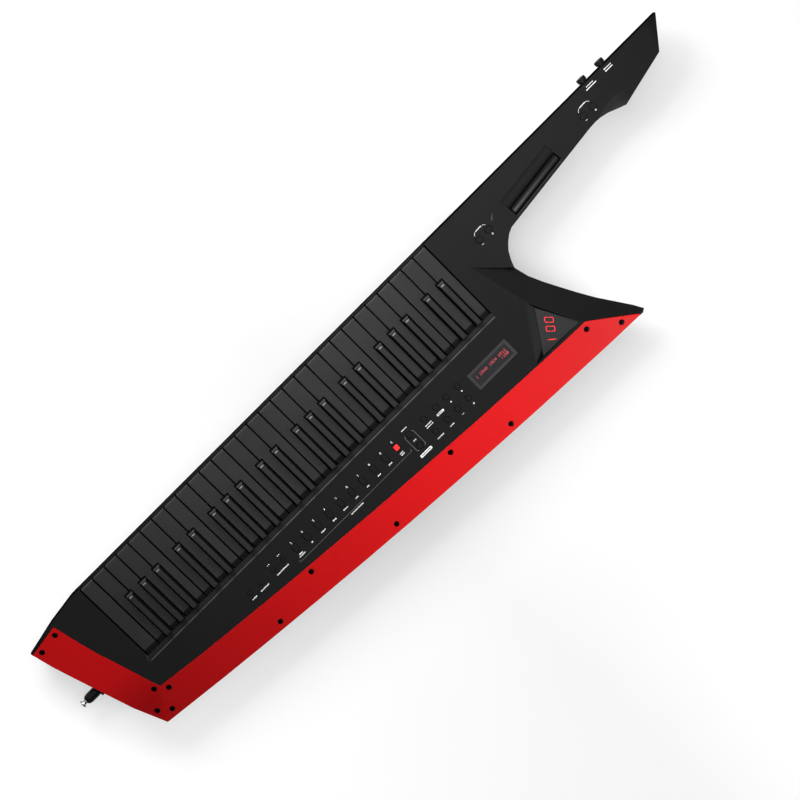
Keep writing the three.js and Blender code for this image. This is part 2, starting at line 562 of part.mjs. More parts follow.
// ---------------------------------------------------------------- keys
function blackKeys() {
  const list = [];
  for (let octave = 0; octave < 4; octave++) {
    for (const [n, name, off] of OCTAVE_BLACKS) {
      list.push({ n: n + 7 * octave, name: `key_${name}${5 - octave}`, x: KEY_X0 + (n + 7 * octave) * KEY_PITCH + off });
    }
  }
  return list;
}
const BLACKS = blackKeys();
function whiteKey(i) {
  const x0 = KEY_X0 + i * KEY_PITCH + KEY_GAP / 2;
  const x1 = KEY_X0 + (i + 1) * KEY_PITCH - KEY_GAP / 2;
  const left = BLACKS.find((b) => b.n === i), right = BLACKS.find((b) => b.n === i + 1);
  const half = BLACK_BASE / 2 + BLACK_GAP;
  const n0 = left ? left.x + half : x0;
  const n1 = right ? right.x - half : x1;
  const head = solid(box(x0, x1, NOTCH_Y, KEY_FRONT_Y, KEY_BOTTOM_Z, KEY_TOP_Z));
  const shank = solid(profileAlongX([[KEY_TAIL_Y, 58], [NOTCH_Y + 1, KEY_BOTTOM_Z], [NOTCH_Y + 1, KEY_TOP_Z], [3.5, KEY_TOP_Z], [-6, 66], [KEY_TAIL_Y, 66]], n0, n1));
  const pocketHead = solid(box(x0 + 1.8, x1 - 1.8, NOTCH_Y + 1.8, KEY_FRONT_Y - 2, 40, KEY_TOP_Z - 2.4));
  const pocketShank = solid(box(n0 + 1.8, n1 - 1.8, 6, NOTCH_Y + 2, 40, KEY_TOP_Z - 2.4));
  return geometryOf(head.add(shank).subtract(pocketHead).subtract(pocketShank));
}
function blackKey(x) {
  const g = profileAlongX([[KEY_TAIL_Y, 58], [BLACK_TIP_Y, 60], [BLACK_TIP_Y, 76.5], [BLACK_TOP_TIP_Y + 1, BLACK_TOP_Z - 0.8], [BLACK_TOP_TIP_Y - 0.6, BLACK_TOP_Z],
    [BLACK_REAR_Y + 1, BLACK_TOP_Z], [BLACK_REAR_Y, BLACK_TOP_Z - 1], [BLACK_REAR_Y, 72], [1, 72], [-6, 66], [KEY_TAIL_Y, 66]], x - BLACK_BASE / 2, x + BLACK_BASE / 2);
  const p = g.attributes.position;
  for (let i = 0; i < p.count; i++) {
    if (p.getZ(i) > BLACK_TOP_Z - 1.5) p.setX(i, x + ((p.getX(i) - x) * BLACK_CREST) / BLACK_BASE);
  }
  const pocket = solid(box(x - BLACK_BASE / 2 + 1.8, x + BLACK_BASE / 2 - 1.8, 12, BLACK_TIP_Y - 8, 40, 70));
  return geometryOf(solid(g).subtract(pocket));
}

// ---------------------------------------------------------------- chassis under the keys
function keybedFrame() {
  const x0 = KEY_X0 + 2, x1 = KEY_X0 + KEY_COUNT * KEY_PITCH - 2;
  const profile = [[-40, 30], [126, 30], [126, 33], [119, 33], [119, 49.6], [113, 49.6], [113, 33], [-17, 33], [-17, 56.4], [-27, 56.4], [-27, 33], [-33, 33], [-33, 64], [-36, 64], [-36, 33], [-40, 33]];
  let made = solid(profileAlongX(profile, x0, x1));
  for (const x of [-470, -170, 130]) {
    for (const y of [-30, 98]) made = made.add(solid(box(x - 8, x + 8, y - 6, y + 6, 5.8, 31)));
  }
  // lightening slots in the plate
  for (let k = 0; k < 6; k++) {
    const x = -470 + 104 * k;
    made = made.subtract(solid(box(x + 14, x + 88, 8, 92, 20, 40)));
  }
  return geometryOf(made);
}

// ---------------------------------------------------------------- buttons
function panelMat() {
  const sheet = solid(prism([[-355, -27], [-355, -42.5], [-50, -44.5], [-42, -64.5], [73, -64.5], [73, -27]], ...MAT_Z));
  const caps = [];
  const z = [MAT_Z[1] - 0.5, CAP_Z];
  for (const [x, y] of SMALL_ROUND) caps.push(drum(x, y, z[0], CAP_Z - 0.6, SMALL_ROUND_R, 28));
  for (let i = 0; i < RECT_COUNT; i++) caps.push(prism(roundedRect(RECT_X0 + i * RECT_PITCH, RECT_Y, RECT_W, RECT_H, 1.1), ...z));
  for (const [x, y] of VALUE) caps.push(prism(roundedRect(x, y, VALUE_W, VALUE_H, 2.1), ...z));
  for (const y of GRID_Y) for (const x of GRID_X) caps.push(drum(x, y, ...z, GRID_R, 28));
  return geometryOf(union([sheet, ...caps.map(solid)]));
}
function pairMat(pair) {
  const [[xa, ya], [xb, yb]] = pair;
  const x = (xa + xb) / 2, y = (ya + yb) / 2;
  const sheet = solid(prism(roundedRect(x, y, 38, 16, 3), ...MAT_Z));
  const caps = pair.map(([px, py]) => solid(prism(roundedRect(px, py, PAIR_W, PAIR_H, 2.1), MAT_Z[1] - 0.5, CAP_Z)));
  return geometryOf(union([sheet, ...caps]));
}

// ---------------------------------------------------------------- neck controls
function modulationBar() {
  const half = BAR_W / 2;
  const pts = [[-half, BAR_BOTTOM_Z], [half, BAR_BOTTOM_Z], [half, BAR_SIDE_Z]];
  const seg = 10;
  for (let k = 1; k < seg; k++) {
    const a = (Math.PI * k) / seg;
    pts.push([half * Math.cos(a), BAR_SIDE_Z + (BAR_TOP_Z - BAR_SIDE_Z) * Math.sin(a)]);
  }
  pts.push([-half, BAR_SIDE_Z]);
  return barTurn(profileAlongX(pts, -BAR_LENGTH / 2, BAR_LENGTH / 2));
}
function edgeKnob(x) {
  const y0 = 130, y1 = FRONT_Y + 0.4, end = KNOB_END_Y - y0, base = y1 - y0;
  const profile = [[0, 0], [SHAFT_R, 0], [SHAFT_R, base], [KNOB_R, base], [KNOB_R, end - 0.8], [KNOB_R - 0.8, end], [0, end]];
  const g = new THREE.LatheGeometry(profile.map(([r, h]) => new THREE.Vector2(r, h)), 18);
  g.translate(x, y0, KNOB_Z);
  return g;
}
function strapPeg() {
  const profile = [[0, 0], [PEG_R, 0], [PEG_R, 22.4], [PEG_R - 0.9, 23.3], [3.4, 23.3], [3.4, 26.6], [5.2, 27.4], [6.0, 29.2], [6.0, 30.4], [5.2, 31.4], [0, 31.4]];
  const g = new THREE.LatheGeometry(profile.map(([r, h]) => new THREE.Vector2(r, h)), 20);
  g.rotateZ(Math.PI / 2); // +Y turns to -X
  g.translate(-599.7, PEG_Y, PEG_Z);
  return g;
}

// ---------------------------------------------------------------- assembly
const plastic = (color, roughness) => new THREE.MeshStandardMaterial({ color, roughness, metalness: 0 });
const MATERIALS = {
  caseBlack: plastic(0x262627, 0.55),
  back: plastic(0x1c1c1d, 0.7),
  red: plastic(0xd8161c, 0.3),
  keyWhitePosition: plastic(0x3d3d3e, 0.45),
  keyBlackPosition: plastic(0x2b2b2c, 0.4),
  rubber: plastic(0x161617, 0.8),
  knob: plastic(0x141414, 0.5),
  steel: new THREE.MeshStandardMaterial({ color: 0x9a9ca0, roughness: 0.35, metalness: 1 }),
};

const instrument = new THREE.Group();
const body = new THREE.Group();
const keyboard = new THREE.Group();
const controls = new THREE.Group();
instrument.add(body, keyboard, controls);
function piece(group, name, geometry, material) {
  const mesh = new THREE.Mesh(geometry, material);
  mesh.name = name;
  group.add(mesh);
}

piece(body, "lower_case", lowerCase(), MATERIALS.back);
piece(body, "upper_case", upperCase(), MATERIALS.caseBlack);
piece(body, "edge_blade", edgeBlade(), MATERIALS.red);
piece(body, "keybed_frame", keybedFrame(), MATERIALS.steel);
piece(body, "strap_peg", strapPeg(), MATERIALS.knob);

for (let i = 0; i < KEY_COUNT; i++) {
  const octave = i === 0 ? 6 : 5 - Math.floor((i - 1) / 7);
  piece(keyboard, `key_${WHITE_NAMES[i % 7]}${octave}`, whiteKey(i), MATERIALS.keyWhitePosition);
}
for (const b of BLACKS) piece(keyboard, b.name, blackKey(b.x), MATERIALS.keyBlackPosition);

piece(controls, "panel_button_mat", panelMat(), MATERIALS.rubber);
piece(controls, "shift_button_pair", pairMat(PAIR_A), MATERIALS.rubber);
piece(controls, "octave_button_pair", pairMat(PAIR_B), MATERIALS.rubber);
piece(controls, "modulation_bar", modulationBar(), MATERIALS.knob);
piece(controls, "edge_knob_1", edgeKnob(KNOBS[0]), MATERIALS.knob);
piece(controls, "edge_knob_2", edgeKnob(KNOBS[1]), MATERIALS.knob);

export default instrument;
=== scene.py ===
"""A keytar lying on its back on a pale floor. Metres, in the CAD frame: +X from the tail to the
neck's tip, +Y to the front ends of the keys, +Z out of the playing side. The numbers that repeat
the CAD's are written in millimetres and scaled where they are used."""

import math
import random

import bmesh
import bpy
from mathutils import Matrix, Vector
from mathutils.bvhtree import BVHTree


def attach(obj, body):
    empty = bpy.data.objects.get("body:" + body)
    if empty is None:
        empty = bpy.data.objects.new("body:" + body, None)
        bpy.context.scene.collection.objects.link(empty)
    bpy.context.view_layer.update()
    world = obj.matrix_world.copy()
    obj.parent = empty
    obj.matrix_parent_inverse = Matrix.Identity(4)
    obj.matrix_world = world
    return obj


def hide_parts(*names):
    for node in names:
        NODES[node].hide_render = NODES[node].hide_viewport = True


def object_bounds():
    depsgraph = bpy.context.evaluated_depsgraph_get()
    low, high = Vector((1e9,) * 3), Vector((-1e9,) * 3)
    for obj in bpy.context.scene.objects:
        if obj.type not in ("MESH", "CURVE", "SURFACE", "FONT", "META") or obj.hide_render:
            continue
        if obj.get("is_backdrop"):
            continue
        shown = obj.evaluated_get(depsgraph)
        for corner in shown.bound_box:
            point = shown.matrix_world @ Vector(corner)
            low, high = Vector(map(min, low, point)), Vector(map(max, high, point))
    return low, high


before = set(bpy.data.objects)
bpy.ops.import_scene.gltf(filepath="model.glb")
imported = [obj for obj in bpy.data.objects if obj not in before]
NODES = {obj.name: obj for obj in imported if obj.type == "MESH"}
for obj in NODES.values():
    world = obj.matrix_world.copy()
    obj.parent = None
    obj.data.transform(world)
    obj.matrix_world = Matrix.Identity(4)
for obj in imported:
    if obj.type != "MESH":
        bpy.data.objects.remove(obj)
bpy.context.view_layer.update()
MM = 0.001
scene = bpy.context.scene


# ------------------------------------------------------------------ node materials
def srgb(r, g, b):
    def lin(c):
        c /= 255.0
        return c / 12.92 if c <= 0.04045 else ((c + 0.055) / 1.055) ** 2.4

    return (lin(r), lin(g), lin(b), 1.0)


def scaled(colour, k):
    return (colour[0] * k, colour[1] * k, colour[2] * k, 1.0)


class Mat:
    """A Principled material whose colour, roughness and bump come from nodes."""

    def __init__(self, name):
        self.m = bpy.data.materials.new(name)
        self.m.use_nodes = True
        self.t = self.m.node_tree
        self.t.nodes.clear()
        self.out = self.add("ShaderNodeOutputMaterial")
        self.p = self.add("ShaderNodeBsdfPrincipled")
        self.link(self.p.outputs[0], self.out.inputs[0])
        self.coord = self.add("ShaderNodeTexCoord")

    def add(self, kind, **values):
        n = self.t.nodes.new(kind)
        for k, v in values.items():
            setattr(n, k, v)
        return n

    def link(self, a, b):
        self.t.links.new(a, b)

    def noise(self, scale, detail=2.0, rough=0.5, stretch=None, distortion=0.0):
        n = self.add("ShaderNodeTexNoise")
        n.inputs["Scale"].default_value = scale
        n.inputs["Detail"].default_value = detail
        n.inputs["Roughness"].default_value = rough
        n.inputs["Distortion"].default_value = distortion
        source = self.coord.outputs["Object"]
        if stretch:
            v = self.add("ShaderNodeMapping")
            v.inputs["Scale"].default_value = stretch
            self.link(source, v.inputs["Vector"])
            source = v.outputs[0]
        self.link(source, n.inputs["Vector"])
        return n.outputs["Fac"]

    def span(self, value, a, b, low=0.3, high=0.7):
        r = self.add("ShaderNodeMapRange")
        r.inputs["From Min"].default_value = low
        r.inputs["From Max"].default_value = high
        r.inputs["To Min"].default_value = a
        r.inputs["To Max"].default_value = b
        self.link(value, r.inputs["Value"])
        return r.outputs[0]

    def math(self, op, a, b, clamp=False):
        n = self.add("ShaderNodeMath", operation=op, use_clamp=clamp)
        for i, v in enumerate((a, b)):
            if isinstance(v, (int, float)):
                n.inputs[i].default_value = v
            else:
                self.link(v, n.inputs[i])
        return n.outputs[0]

    def mix(self, factor, a, b):
        n = self.add("ShaderNodeMix", data_type="RGBA")
        if isinstance(factor, (int, float)):
            n.inputs[0].default_value = factor
        else:
            self.link(factor, n.inputs[0])
        for i, v in ((6, a), (7, b)):
            if isinstance(v, tuple):
                n.inputs[i].default_value = v
            else:
                self.link(v, n.inputs[i])
        return n.outputs[2]

    def place(self):
        s = self.add("ShaderNodeSeparateXYZ")
        self.link(self.coord.outputs["Object"], s.inputs[0])
        return s.outputs

    def across(self, cx, cy, angle, along=False):
        """Distance across (or along) a line through (cx, cy) millimetres at an angle to X."""
        v = (math.cos(angle), math.sin(angle)) if along else (-math.sin(angle), math.cos(angle))
        p = self.place()
        d = self.math("ADD", self.math("MULTIPLY", p[0], v[0]), self.math("MULTIPLY", p[1], v[1]))
        return self.math("SUBTRACT", d, (cx * v[0] + cy * v[1]) * MM)

    def colour(self, value):
        self.link(value, self.p.inputs["Base Color"])

    def rough(self, value):
        self.link(value, self.p.inputs["Roughness"])

    def bump(self, heights, strength=0.3, distance=0.00005):
        total = heights[0]
        for h in heights[1:]:
            total = self.math("ADD", total, h)
        b = self.add("ShaderNodeBump")
        b.inputs["Strength"].default_value = strength
        b.inputs["Distance"].default_value = distance
        self.link(total, b.inputs["Height"])
        self.link(b.outputs[0], self.p.inputs["Normal"])

    def fixed(self, **values):
        names = {"specular": "Specular IOR Level", "coat": "Coat Weight", "coat_rough": "Coat Roughness", "metal": "Metallic",
                 "sheen": "Sheen Weight", "sheen_rough": "Sheen Roughness", "ior": "IOR"}
        for k, v in values.items():
            self.p.inputs[names[k]].default_value = v


def edge_light(mat, strength, radius):
    """0 to 1 near convex edges, where handling polishes the moulded surface."""
    g = mat.add("ShaderNodeNewGeometry")
    return mat.span(g.outputs["Pointiness"], 0.0, strength, 0.5 + radius * 0.2, 0.5 + radius)


def plastic(name, base, rough, grain=0.25, grain_scale=1500.0, vary=0.12, specular=0.35, coat=0.0, painted_light=None):
    """Moulded plastic with a fine grain. The function passed in may paint light and shade into the colour by place."""
    m = Mat(name)
    big = m.noise(7.0, 3.0, 0.55)
    fine = m.noise(90.0, 4.0, 0.6)
    f = m.span(m.math("ADD", m.math("MULTIPLY", big, 0.7), m.math("MULTIPLY", fine, 0.3)), 0.0, 1.0, 0.38, 0.62)
    colour = m.mix(f, scaled(base, 1.0 - vary), scaled(base, 1.0 + vary))
    m.colour(painted_light(m, colour) if painted_light else colour)
    m.rough(m.span(m.noise(260.0, 5.0, 0.65), rough - 0.045, rough + 0.045))
    m.bump([m.noise(grain_scale, 2.0, 0.6), m.math("MULTIPLY", m.noise(grain_scale * 0.31, 1.0, 0.5), 0.8)], grain, 0.00006)
    m.fixed(specular=specular, coat=coat, coat_rough=0.25)
    return m


def case_painted_light(m, colour):
    """Painted light and shade on the case: a painted highlight along the chamfer of the lip behind the keys,
    painted shade, with less shine, on the long outer wall and on the wall of the strip's trough, and
    painted highlights that make the scoop under the headstock and the rim beside the bar a little paler."""
    x, y, z = m.place()

    def all_of(*parts):
        total = parts[0]
        for part in parts[1:]:
            total = m.math("MULTIPLY", total, part)
        return total

    # painted highlight along the lip's chamfer behind the keys
    lip = all_of(m.span(y, 0.0, 1.0, -0.0034, -0.0029), m.span(y, 1.0, 0.0, -0.0018, -0.0012), m.span(z, 0.0, 1.0, 0.0770, 0.0773),
                 m.span(x, 0.0, 1.0, -0.516, -0.511), m.span(x, 1.0, 0.0, 0.1712, 0.1722))
    # painted highlight on the scoop under the headstock
    scoop = all_of(m.span(z, 1.0, 0.0, 0.0772, 0.0779), m.span(z, 0.0, 1.0, 0.0665, 0.0685), m.span(x, 0.0, 1.0, 0.462, 0.480), m.span(x, 1.0, 0.0, 0.506, 0.530))
    a = m.across(342.2, 91.0, 0.1195)
    s = m.across(342.2, 91.0, 0.1195, along=True)
    ends = all_of(m.span(s, 0.0, 1.0, -0.0512, -0.0505), m.span(s, 1.0, 0.0, 0.0505, 0.0512))
    # painted shade on the wall of the strip's trough
    wall = all_of(ends, m.span(a, 0.0, 1.0, 0.0195, 0.0205), m.span(a, 1.0, 0.0, 0.0236, 0.0252), m.span(z, 1.0, 0.0, 0.07785, 0.0780))
    # painted highlight on the rim beside the bar
    rim = all_of(ends, m.span(a, 0.0, 1.0, -0.0098, -0.0092), m.span(a, 1.0, 0.0, -0.0078, -0.0072), m.span(z, 0.0, 1.0, 0.0740, 0.0745))
    g = m.add("ShaderNodeNewGeometry")
    n = m.add("ShaderNodeSeparateXYZ")
    m.link(g.outputs["True Normal"], n.inputs[0])
    # painted shade on the faces that look towards +Y, the long outer wall
    outer = m.span(n.outputs[1], 0.0, 1.0, 0.55, 0.85)
    dull_and_painted_shade = m.math("MAXIMUM", outer, m.math("MULTIPLY", wall, 0.6))
    # less shine where the shade is painted, then the painted highlights and the painted shade mixed into the colour
    m.link(m.span(dull_and_painted_shade, 0.22, 0.0, 0.0, 1.0), m.p.inputs["Specular IOR Level"])
    colour = m.mix(m.math("MULTIPLY", lip, 0.9), colour, srgb(66, 66, 67))
    colour = m.mix(m.math("MULTIPLY", scoop, 0.8), colour, srgb(38, 38, 39))
    colour = m.mix(m.math("MULTIPLY", rim, 0.8), colour, srgb(40, 40, 41))
    return m.mix(m.math("MULTIPLY", dull_and_painted_shade, 0.7), colour, srgb(8, 8, 9))


def painted_side_shade(m, colour, base, amount=0.8, low=0.2, high=0.6):
    """Paints the upright sides of keys darker: painted shade where the sides face the gaps between keys."""
    g = m.add("ShaderNodeNewGeometry")
    n = m.add("ShaderNodeSeparateXYZ")
    m.link(g.outputs["True Normal"], n.inputs[0])
    # painted shade on faces that look sideways
    side = m.span(m.math("MULTIPLY", n.outputs[0], n.outputs[0]), 0.0, 1.0, low, high)
    return m.mix(m.math("MULTIPLY", side, amount), colour, scaled(base, 0.2))


def sharp_painted_light(m, colour):
    """A short key, with light and shade painted on: painted shade on its sides, a painted highlight on the crest at the
    player's end, the front slope painted lighter and a painted shadow at its foot.
    """
    y = m.place()[1]
    g = m.add("ShaderNodeSeparateXYZ")
    m.link(m.coord.outputs["Generated"], g.inputs[0])
    # painted highlight on the crest, in the middle of the key's width
    spot = m.math("MULTIPLY", m.span(g.outputs[0], 0.0, 1.0, 0.2, 0.36), m.span(g.outputs[0], 1.0, 0.0, 0.64, 0.8))
    spot = m.math("MULTIPLY", spot, m.math("MULTIPLY", m.span(y, 0.0, 1.0, 0.0813, 0.0821), m.span(y, 1.0, 0.0, 0.0832, 0.084)))
    # painted shade on the sides
    colour = painted_side_shade(m, colour, srgb(31, 31, 32))
    # the front slope painted lighter, as if lit
    colour = m.mix(m.math("MULTIPLY", m.span(y, 0.0, 1.0, 0.0844, 0.0854), 0.88), colour, srgb(79, 79, 80))
    # painted shadow at the foot of the front slope
    colour = m.mix(m.math("MULTIPLY", m.span(y, 0.0, 1.0, 0.0866, 0.0874), 0.95), colour, srgb(5, 5, 5))
    return m.mix(m.math("MULTIPLY", spot, 0.88), colour, srgb(122, 122, 123))


CASE = plastic("case_black_satin", srgb(19, 19, 20), 0.47, grain=0.28, grain_scale=1700.0, specular=0.22, painted_light=case_painted_light)
CASE_BACK = plastic("case_back_grained", srgb(15, 15, 16), 0.6, grain=0.6, grain_scale=1100.0, vary=0.16, specular=0.2)
SHARP = plastic("key_dark_satin", srgb(31, 31, 32), 0.37, grain=0.12, grain_scale=2200.0, vary=0.08, specular=0.32, painted_light=sharp_painted_light)
RUBBER = plastic("silicone_black", srgb(15, 15, 16), 0.6, grain=0.22, grain_scale=2600.0, vary=0.1, specular=0.25)
CONTROL = plastic("control_black", srgb(22, 22, 23), 0.42, grain=0.18, grain_scale=2100.0, specular=0.3)
FRAME = plastic("chassis_grey", srgb(58, 58, 60), 0.55, grain=0.4, grain_scale=900.0, vary=0.2)


def key_material():
    """Charcoal key tops with long faint streaks from polishing; painted shade on the rear ends under the panel's lip,
    the sides and the gaps, and a painted highlight along the front edge.
    """
    m = Mat("key_charcoal")
    base = srgb(38, 38, 39)
    streak = m.noise(420.0, 3.0, 0.6, stretch=(1.0, 0.06, 1.0))
    big = m.noise(11.0, 2.0, 0.5)
    f = m.span(m.math("ADD", m.math("MULTIPLY", big, 0.6), m.math("MULTIPLY", streak, 0.4)), 0.0, 1.0, 0.38, 0.62)
    colour = m.mix(f, scaled(base, 0.88), scaled(base, 1.1))
    y = m.place()[1]
    # painted shade over the rear ends, under the panel's lip
    rear = m.span(y, 1.0, 0.0, 0.0126, 0.0145)
    # painted highlight along the front edge
    front = m.span(y, 0.0, 0.5, 0.1352, 0.1364)
    colour = m.mix(front, colour, scaled(base, 3.0))
    colour = m.mix(m.math("MULTIPLY", rear, 0.8), colour, scaled(base, 0.12))
    # painted shade along both long sides, at the gaps between keys
    g = m.add("ShaderNodeSeparateXYZ")
    m.link(m.coord.outputs["Generated"], g.inputs[0])
    edge = m.math("MAXIMUM", m.span(g.outputs[0], 1.0, 0.0, 0.02, 0.036), m.span(g.outputs[0], 0.0, 1.0, 0.964, 0.98))
    colour = m.mix(m.math("MULTIPLY", edge, 0.85), colour, scaled(base, 0.15))
    # painted shade on the upright sides
    m.colour(painted_side_shade(m, colour, base, 0.88, 0.06, 0.26))
    m.link(m.span(rear, 0.32, 0.08, 0.0, 1.0), m.p.inputs["Specular IOR Level"])
    m.rough(m.span(streak, 0.38, 0.47))
    m.bump([m.noise(2200.0, 2.0, 0.6), streak], 0.14, 0.00005)
    m.fixed(specular=0.32, coat=0.0)
    return m


KEY = key_material()


def red_material():
    """Semi-gloss red: a fine orange peel under a thin clear coat."""
    m = Mat("blade_red_gloss")
    big = m.noise(4.0, 3.0, 0.5)
    peel = m.noise(330.0, 2.0, 0.5)
    base = srgb(183, 24, 27)
    f = m.span(m.math("ADD", m.math("MULTIPLY", big, 0.8), m.math("MULTIPLY", peel, 0.2)), 0.0, 1.0, 0.38, 0.62)
    colour = m.mix(f, scaled(base, 0.94), scaled(base, 1.06))
    x, y, z = m.place()
    # painted light on the long edge: painted shade at the tail's corner and a painted highlight along the middle
    long_edge = m.span(y, 1.0, 0.0, -0.045, 0.015)
    painted_corner_shade = m.math("MULTIPLY", long_edge, m.span(x, 1.0, 0.0, -0.56, -0.32))
    painted_middle_light = m.math("MULTIPLY", long_edge, m.math("MULTIPLY", m.span(x, 0.0, 1.0, -0.34, -0.05), m.span(x, 1.0, 0.0, 0.10, 0.27)))
    colour = m.mix(m.math("MULTIPLY", painted_corner_shade, 0.30), colour, scaled(base, 0.0))
    m.colour(m.mix(m.math("MULTIPLY", painted_middle_light, 0.85), colour, scaled(base, 1.22)))
    m.rough(m.span(m.noise(120.0, 4.0, 0.6), 0.36, 0.44))
    m.bump([peel, m.math("MULTIPLY", m.noise(1400.0, 2.0, 0.5), 0.5)], 0.12, 0.00008)
    m.fixed(specular=0.16, coat=0.05, coat_rough=0.2)
    return m


RED = red_material()


def steel_material(name, base, rough, along=(1.0, 1.0, 1.0), scale=900.0):
    m = Mat(name)
    line = m.noise(scale, 3.0, 0.6, stretch=along)
    m.colour(m.mix(m.span(line, 0.0, 1.0), scaled(base, 0.82), scaled(base, 1.12)))
    m.rough(m.span(line, rough - 0.07, rough + 0.07))
    m.bump([line], 0.1, 0.00003)
    m.fixed(metal=1.0)
    return m


STEEL = steel_material("bright_steel", srgb(205, 206, 208), 0.24)
SCREW = steel_material("screw_black_oxide", srgb(24, 24, 26), 0.42, scale=1600.0)


def smoked_window(name, base):
    m = Mat(name)
    haze = m.noise(14.0, 2.0, 0.5)
    fine = m.noise(700.0, 3.0, 0.6)
    f = m.span(m.math("ADD", m.math("MULTIPLY", haze, 0.8), m.math("MULTIPLY", fine, 0.2)), 0.0, 1.0, 0.38, 0.62)
    m.colour(m.mix(f, scaled(base, 0.9), scaled(base, 1.1)))
    m.rough(m.span(fine, 0.27, 0.36))
    m.fixed(specular=0.26)
    return m


WINDOW = smoked_window("smoked_window", srgb(45, 45, 46))
WINDOW_DARK = smoked_window("smoked_pane", srgb(37, 36, 38))
WINDOW_EDGE = smoked_window("smoked_border", srgb(58, 57, 58))


def glow(name, colour, strength):
    """Light-emitting segments: their brightness varies a little at random."""
    m = Mat(name)
    n = m.noise(900.0, 2.0, 0.5)
    shade = m.mix(m.span(n, 0.0, 1.0), scaled(colour, 0.86), scaled(colour, 1.08))
    m.colour(shade)
    m.link(shade, m.p.inputs["Emission Color"])
    m.p.inputs["Emission Strength"].default_value = strength
    m.rough(m.span(n, 0.3, 0.4))
    return m


LED = glow("led_red", srgb(216, 38, 46), 0.36)
DOT = glow("dot_red", srgb(190, 76, 82), 0.28)
LAMP = glow("lamp_red", srgb(230, 36, 34), 0.6)


def ink_material():
    m = Mat("ink_pale")
    n = m.noise(2600.0, 3.0, 0.7)
    m.colour(m.mix(m.span(n, 0.0, 1.0), srgb(205, 205, 205), srgb(238, 238, 237)))
    m.rough(m.span(n, 0.5, 0.62))
    m.fixed(specular=0.3)
    return m


INK = ink_material()


def grey_ink():
    m = Mat("ink_grey")
    n = m.noise(2600.0, 3.0, 0.7)
    m.colour(m.mix(m.span(n, 0.0, 1.0), srgb(96, 96, 97), srgb(124, 124, 124)))
    m.rough(m.span(n, 0.5, 0.62))
    m.fixed(specular=0.3)
    return m


INK_GREY = grey_ink()


def ribbon_material():
    """A touch strip: dense woven texture along its length, and painted shade along both long edges."""
    m = Mat("touch_strip")
    base = srgb(30, 30, 31)
    w = m.add("ShaderNodeTexWave", wave_type="BANDS", bands_direction="DIAGONAL")
    w.inputs["Scale"].default_value = 420.0
    w.inputs["Distortion"].default_value = 0.3
    m.link(m.coord.outputs["Object"], w.inputs["Vector"])
    n = m.noise(50.0, 3.0, 0.5)
    colour = m.mix(m.span(n, 0.0, 1.0), scaled(base, 0.85), scaled(base, 1.15))
    a = m.across(342.2, 91.0, 0.1195)
    # painted shade along both long edges of the strip
    edge = m.math("ADD", m.span(a, 1.0, 0.0, 0.0064, 0.0125), m.span(a, 0.0, 1.0, 0.0158, 0.0205))
    m.colour(m.mix(m.math("MULTIPLY", edge, 0.75), colour, scaled(base, 0.25)))
    m.rough(m.span(n, 0.5, 0.6))
    m.bump([m.math("MULTIPLY", w.outputs["Fac"], 1.0), m.noise(1900.0, 2.0, 0.6)], 0.16, 0.00005)
    m.fixed(specular=0.12)
    return m


RIBBON = ribbon_material()


def bar_material():
    """The half-round bar: a painted highlight along its crest, paler towards the tail's end."""
    m = Mat("bar_painted_highlight")
    base = srgb(13, 13, 14)
    n = m.noise(120.0, 3.0, 0.6, stretch=(0.3, 1.0, 1.0))
    a = m.across(342.2, 91.0, 0.1195)
    s = m.across(342.2, 91.0, 0.1195, along=True)
    a = m.math("ADD", a, 0.0005)
    # painted highlight across the crest, paler towards the tail's end
    crest = m.math("POWER", 2.718, m.math("MULTIPLY", m.math("MULTIPLY", a, a), -1.0 / (2 * 0.0015 ** 2)))
    pale = m.mix(m.span(s, 0.0, 1.0, -0.045, 0.035), srgb(84, 84, 85), srgb(52, 52, 53))
    m.colour(m.mix(m.math("MULTIPLY", crest, m.span(n, 0.94, 1.0)), base, pale))
    m.rough(m.span(n, 0.46, 0.54))
    m.bump([m.noise(2000.0, 2.0, 0.6)], 0.12, 0.00005)
    m.fixed(specular=0.06)
    return m


BAR = bar_material()
HOLE = plastic("socket_black", srgb(12, 12, 13), 0.5, grain=0.1, vary=0.1)


# ------------------------------------------------------------------ mesh helpers
def finish_mesh(name, bm, material, body, matrix=None, smooth=None, bevel=None):
    bmesh.ops.recalc_face_normals(bm, faces=bm.faces)
    me = bpy.data.meshes.new(name)
    bm.to_mesh(me)
    bm.free()
    if matrix is not None:
        me.transform(matrix)
        if matrix.determinant() < 0:
            me.flip_normals()
    ob = bpy.data.objects.new(name, me)
    scene.collection.objects.link(ob)
    me.materials.append(material.m)
    if bevel:
        b = ob.modifiers.new("edges", "BEVEL")
        b.width = bevel[0]
        b.segments = bevel[1]
        b.limit_method = "ANGLE"
        b.angle_limit = math.radians(30)
        b.use_clamp_overlap = True
    if smooth is not None:
        add_smoothing(ob, smooth)
    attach(ob, body)
    return ob


_groups = {}


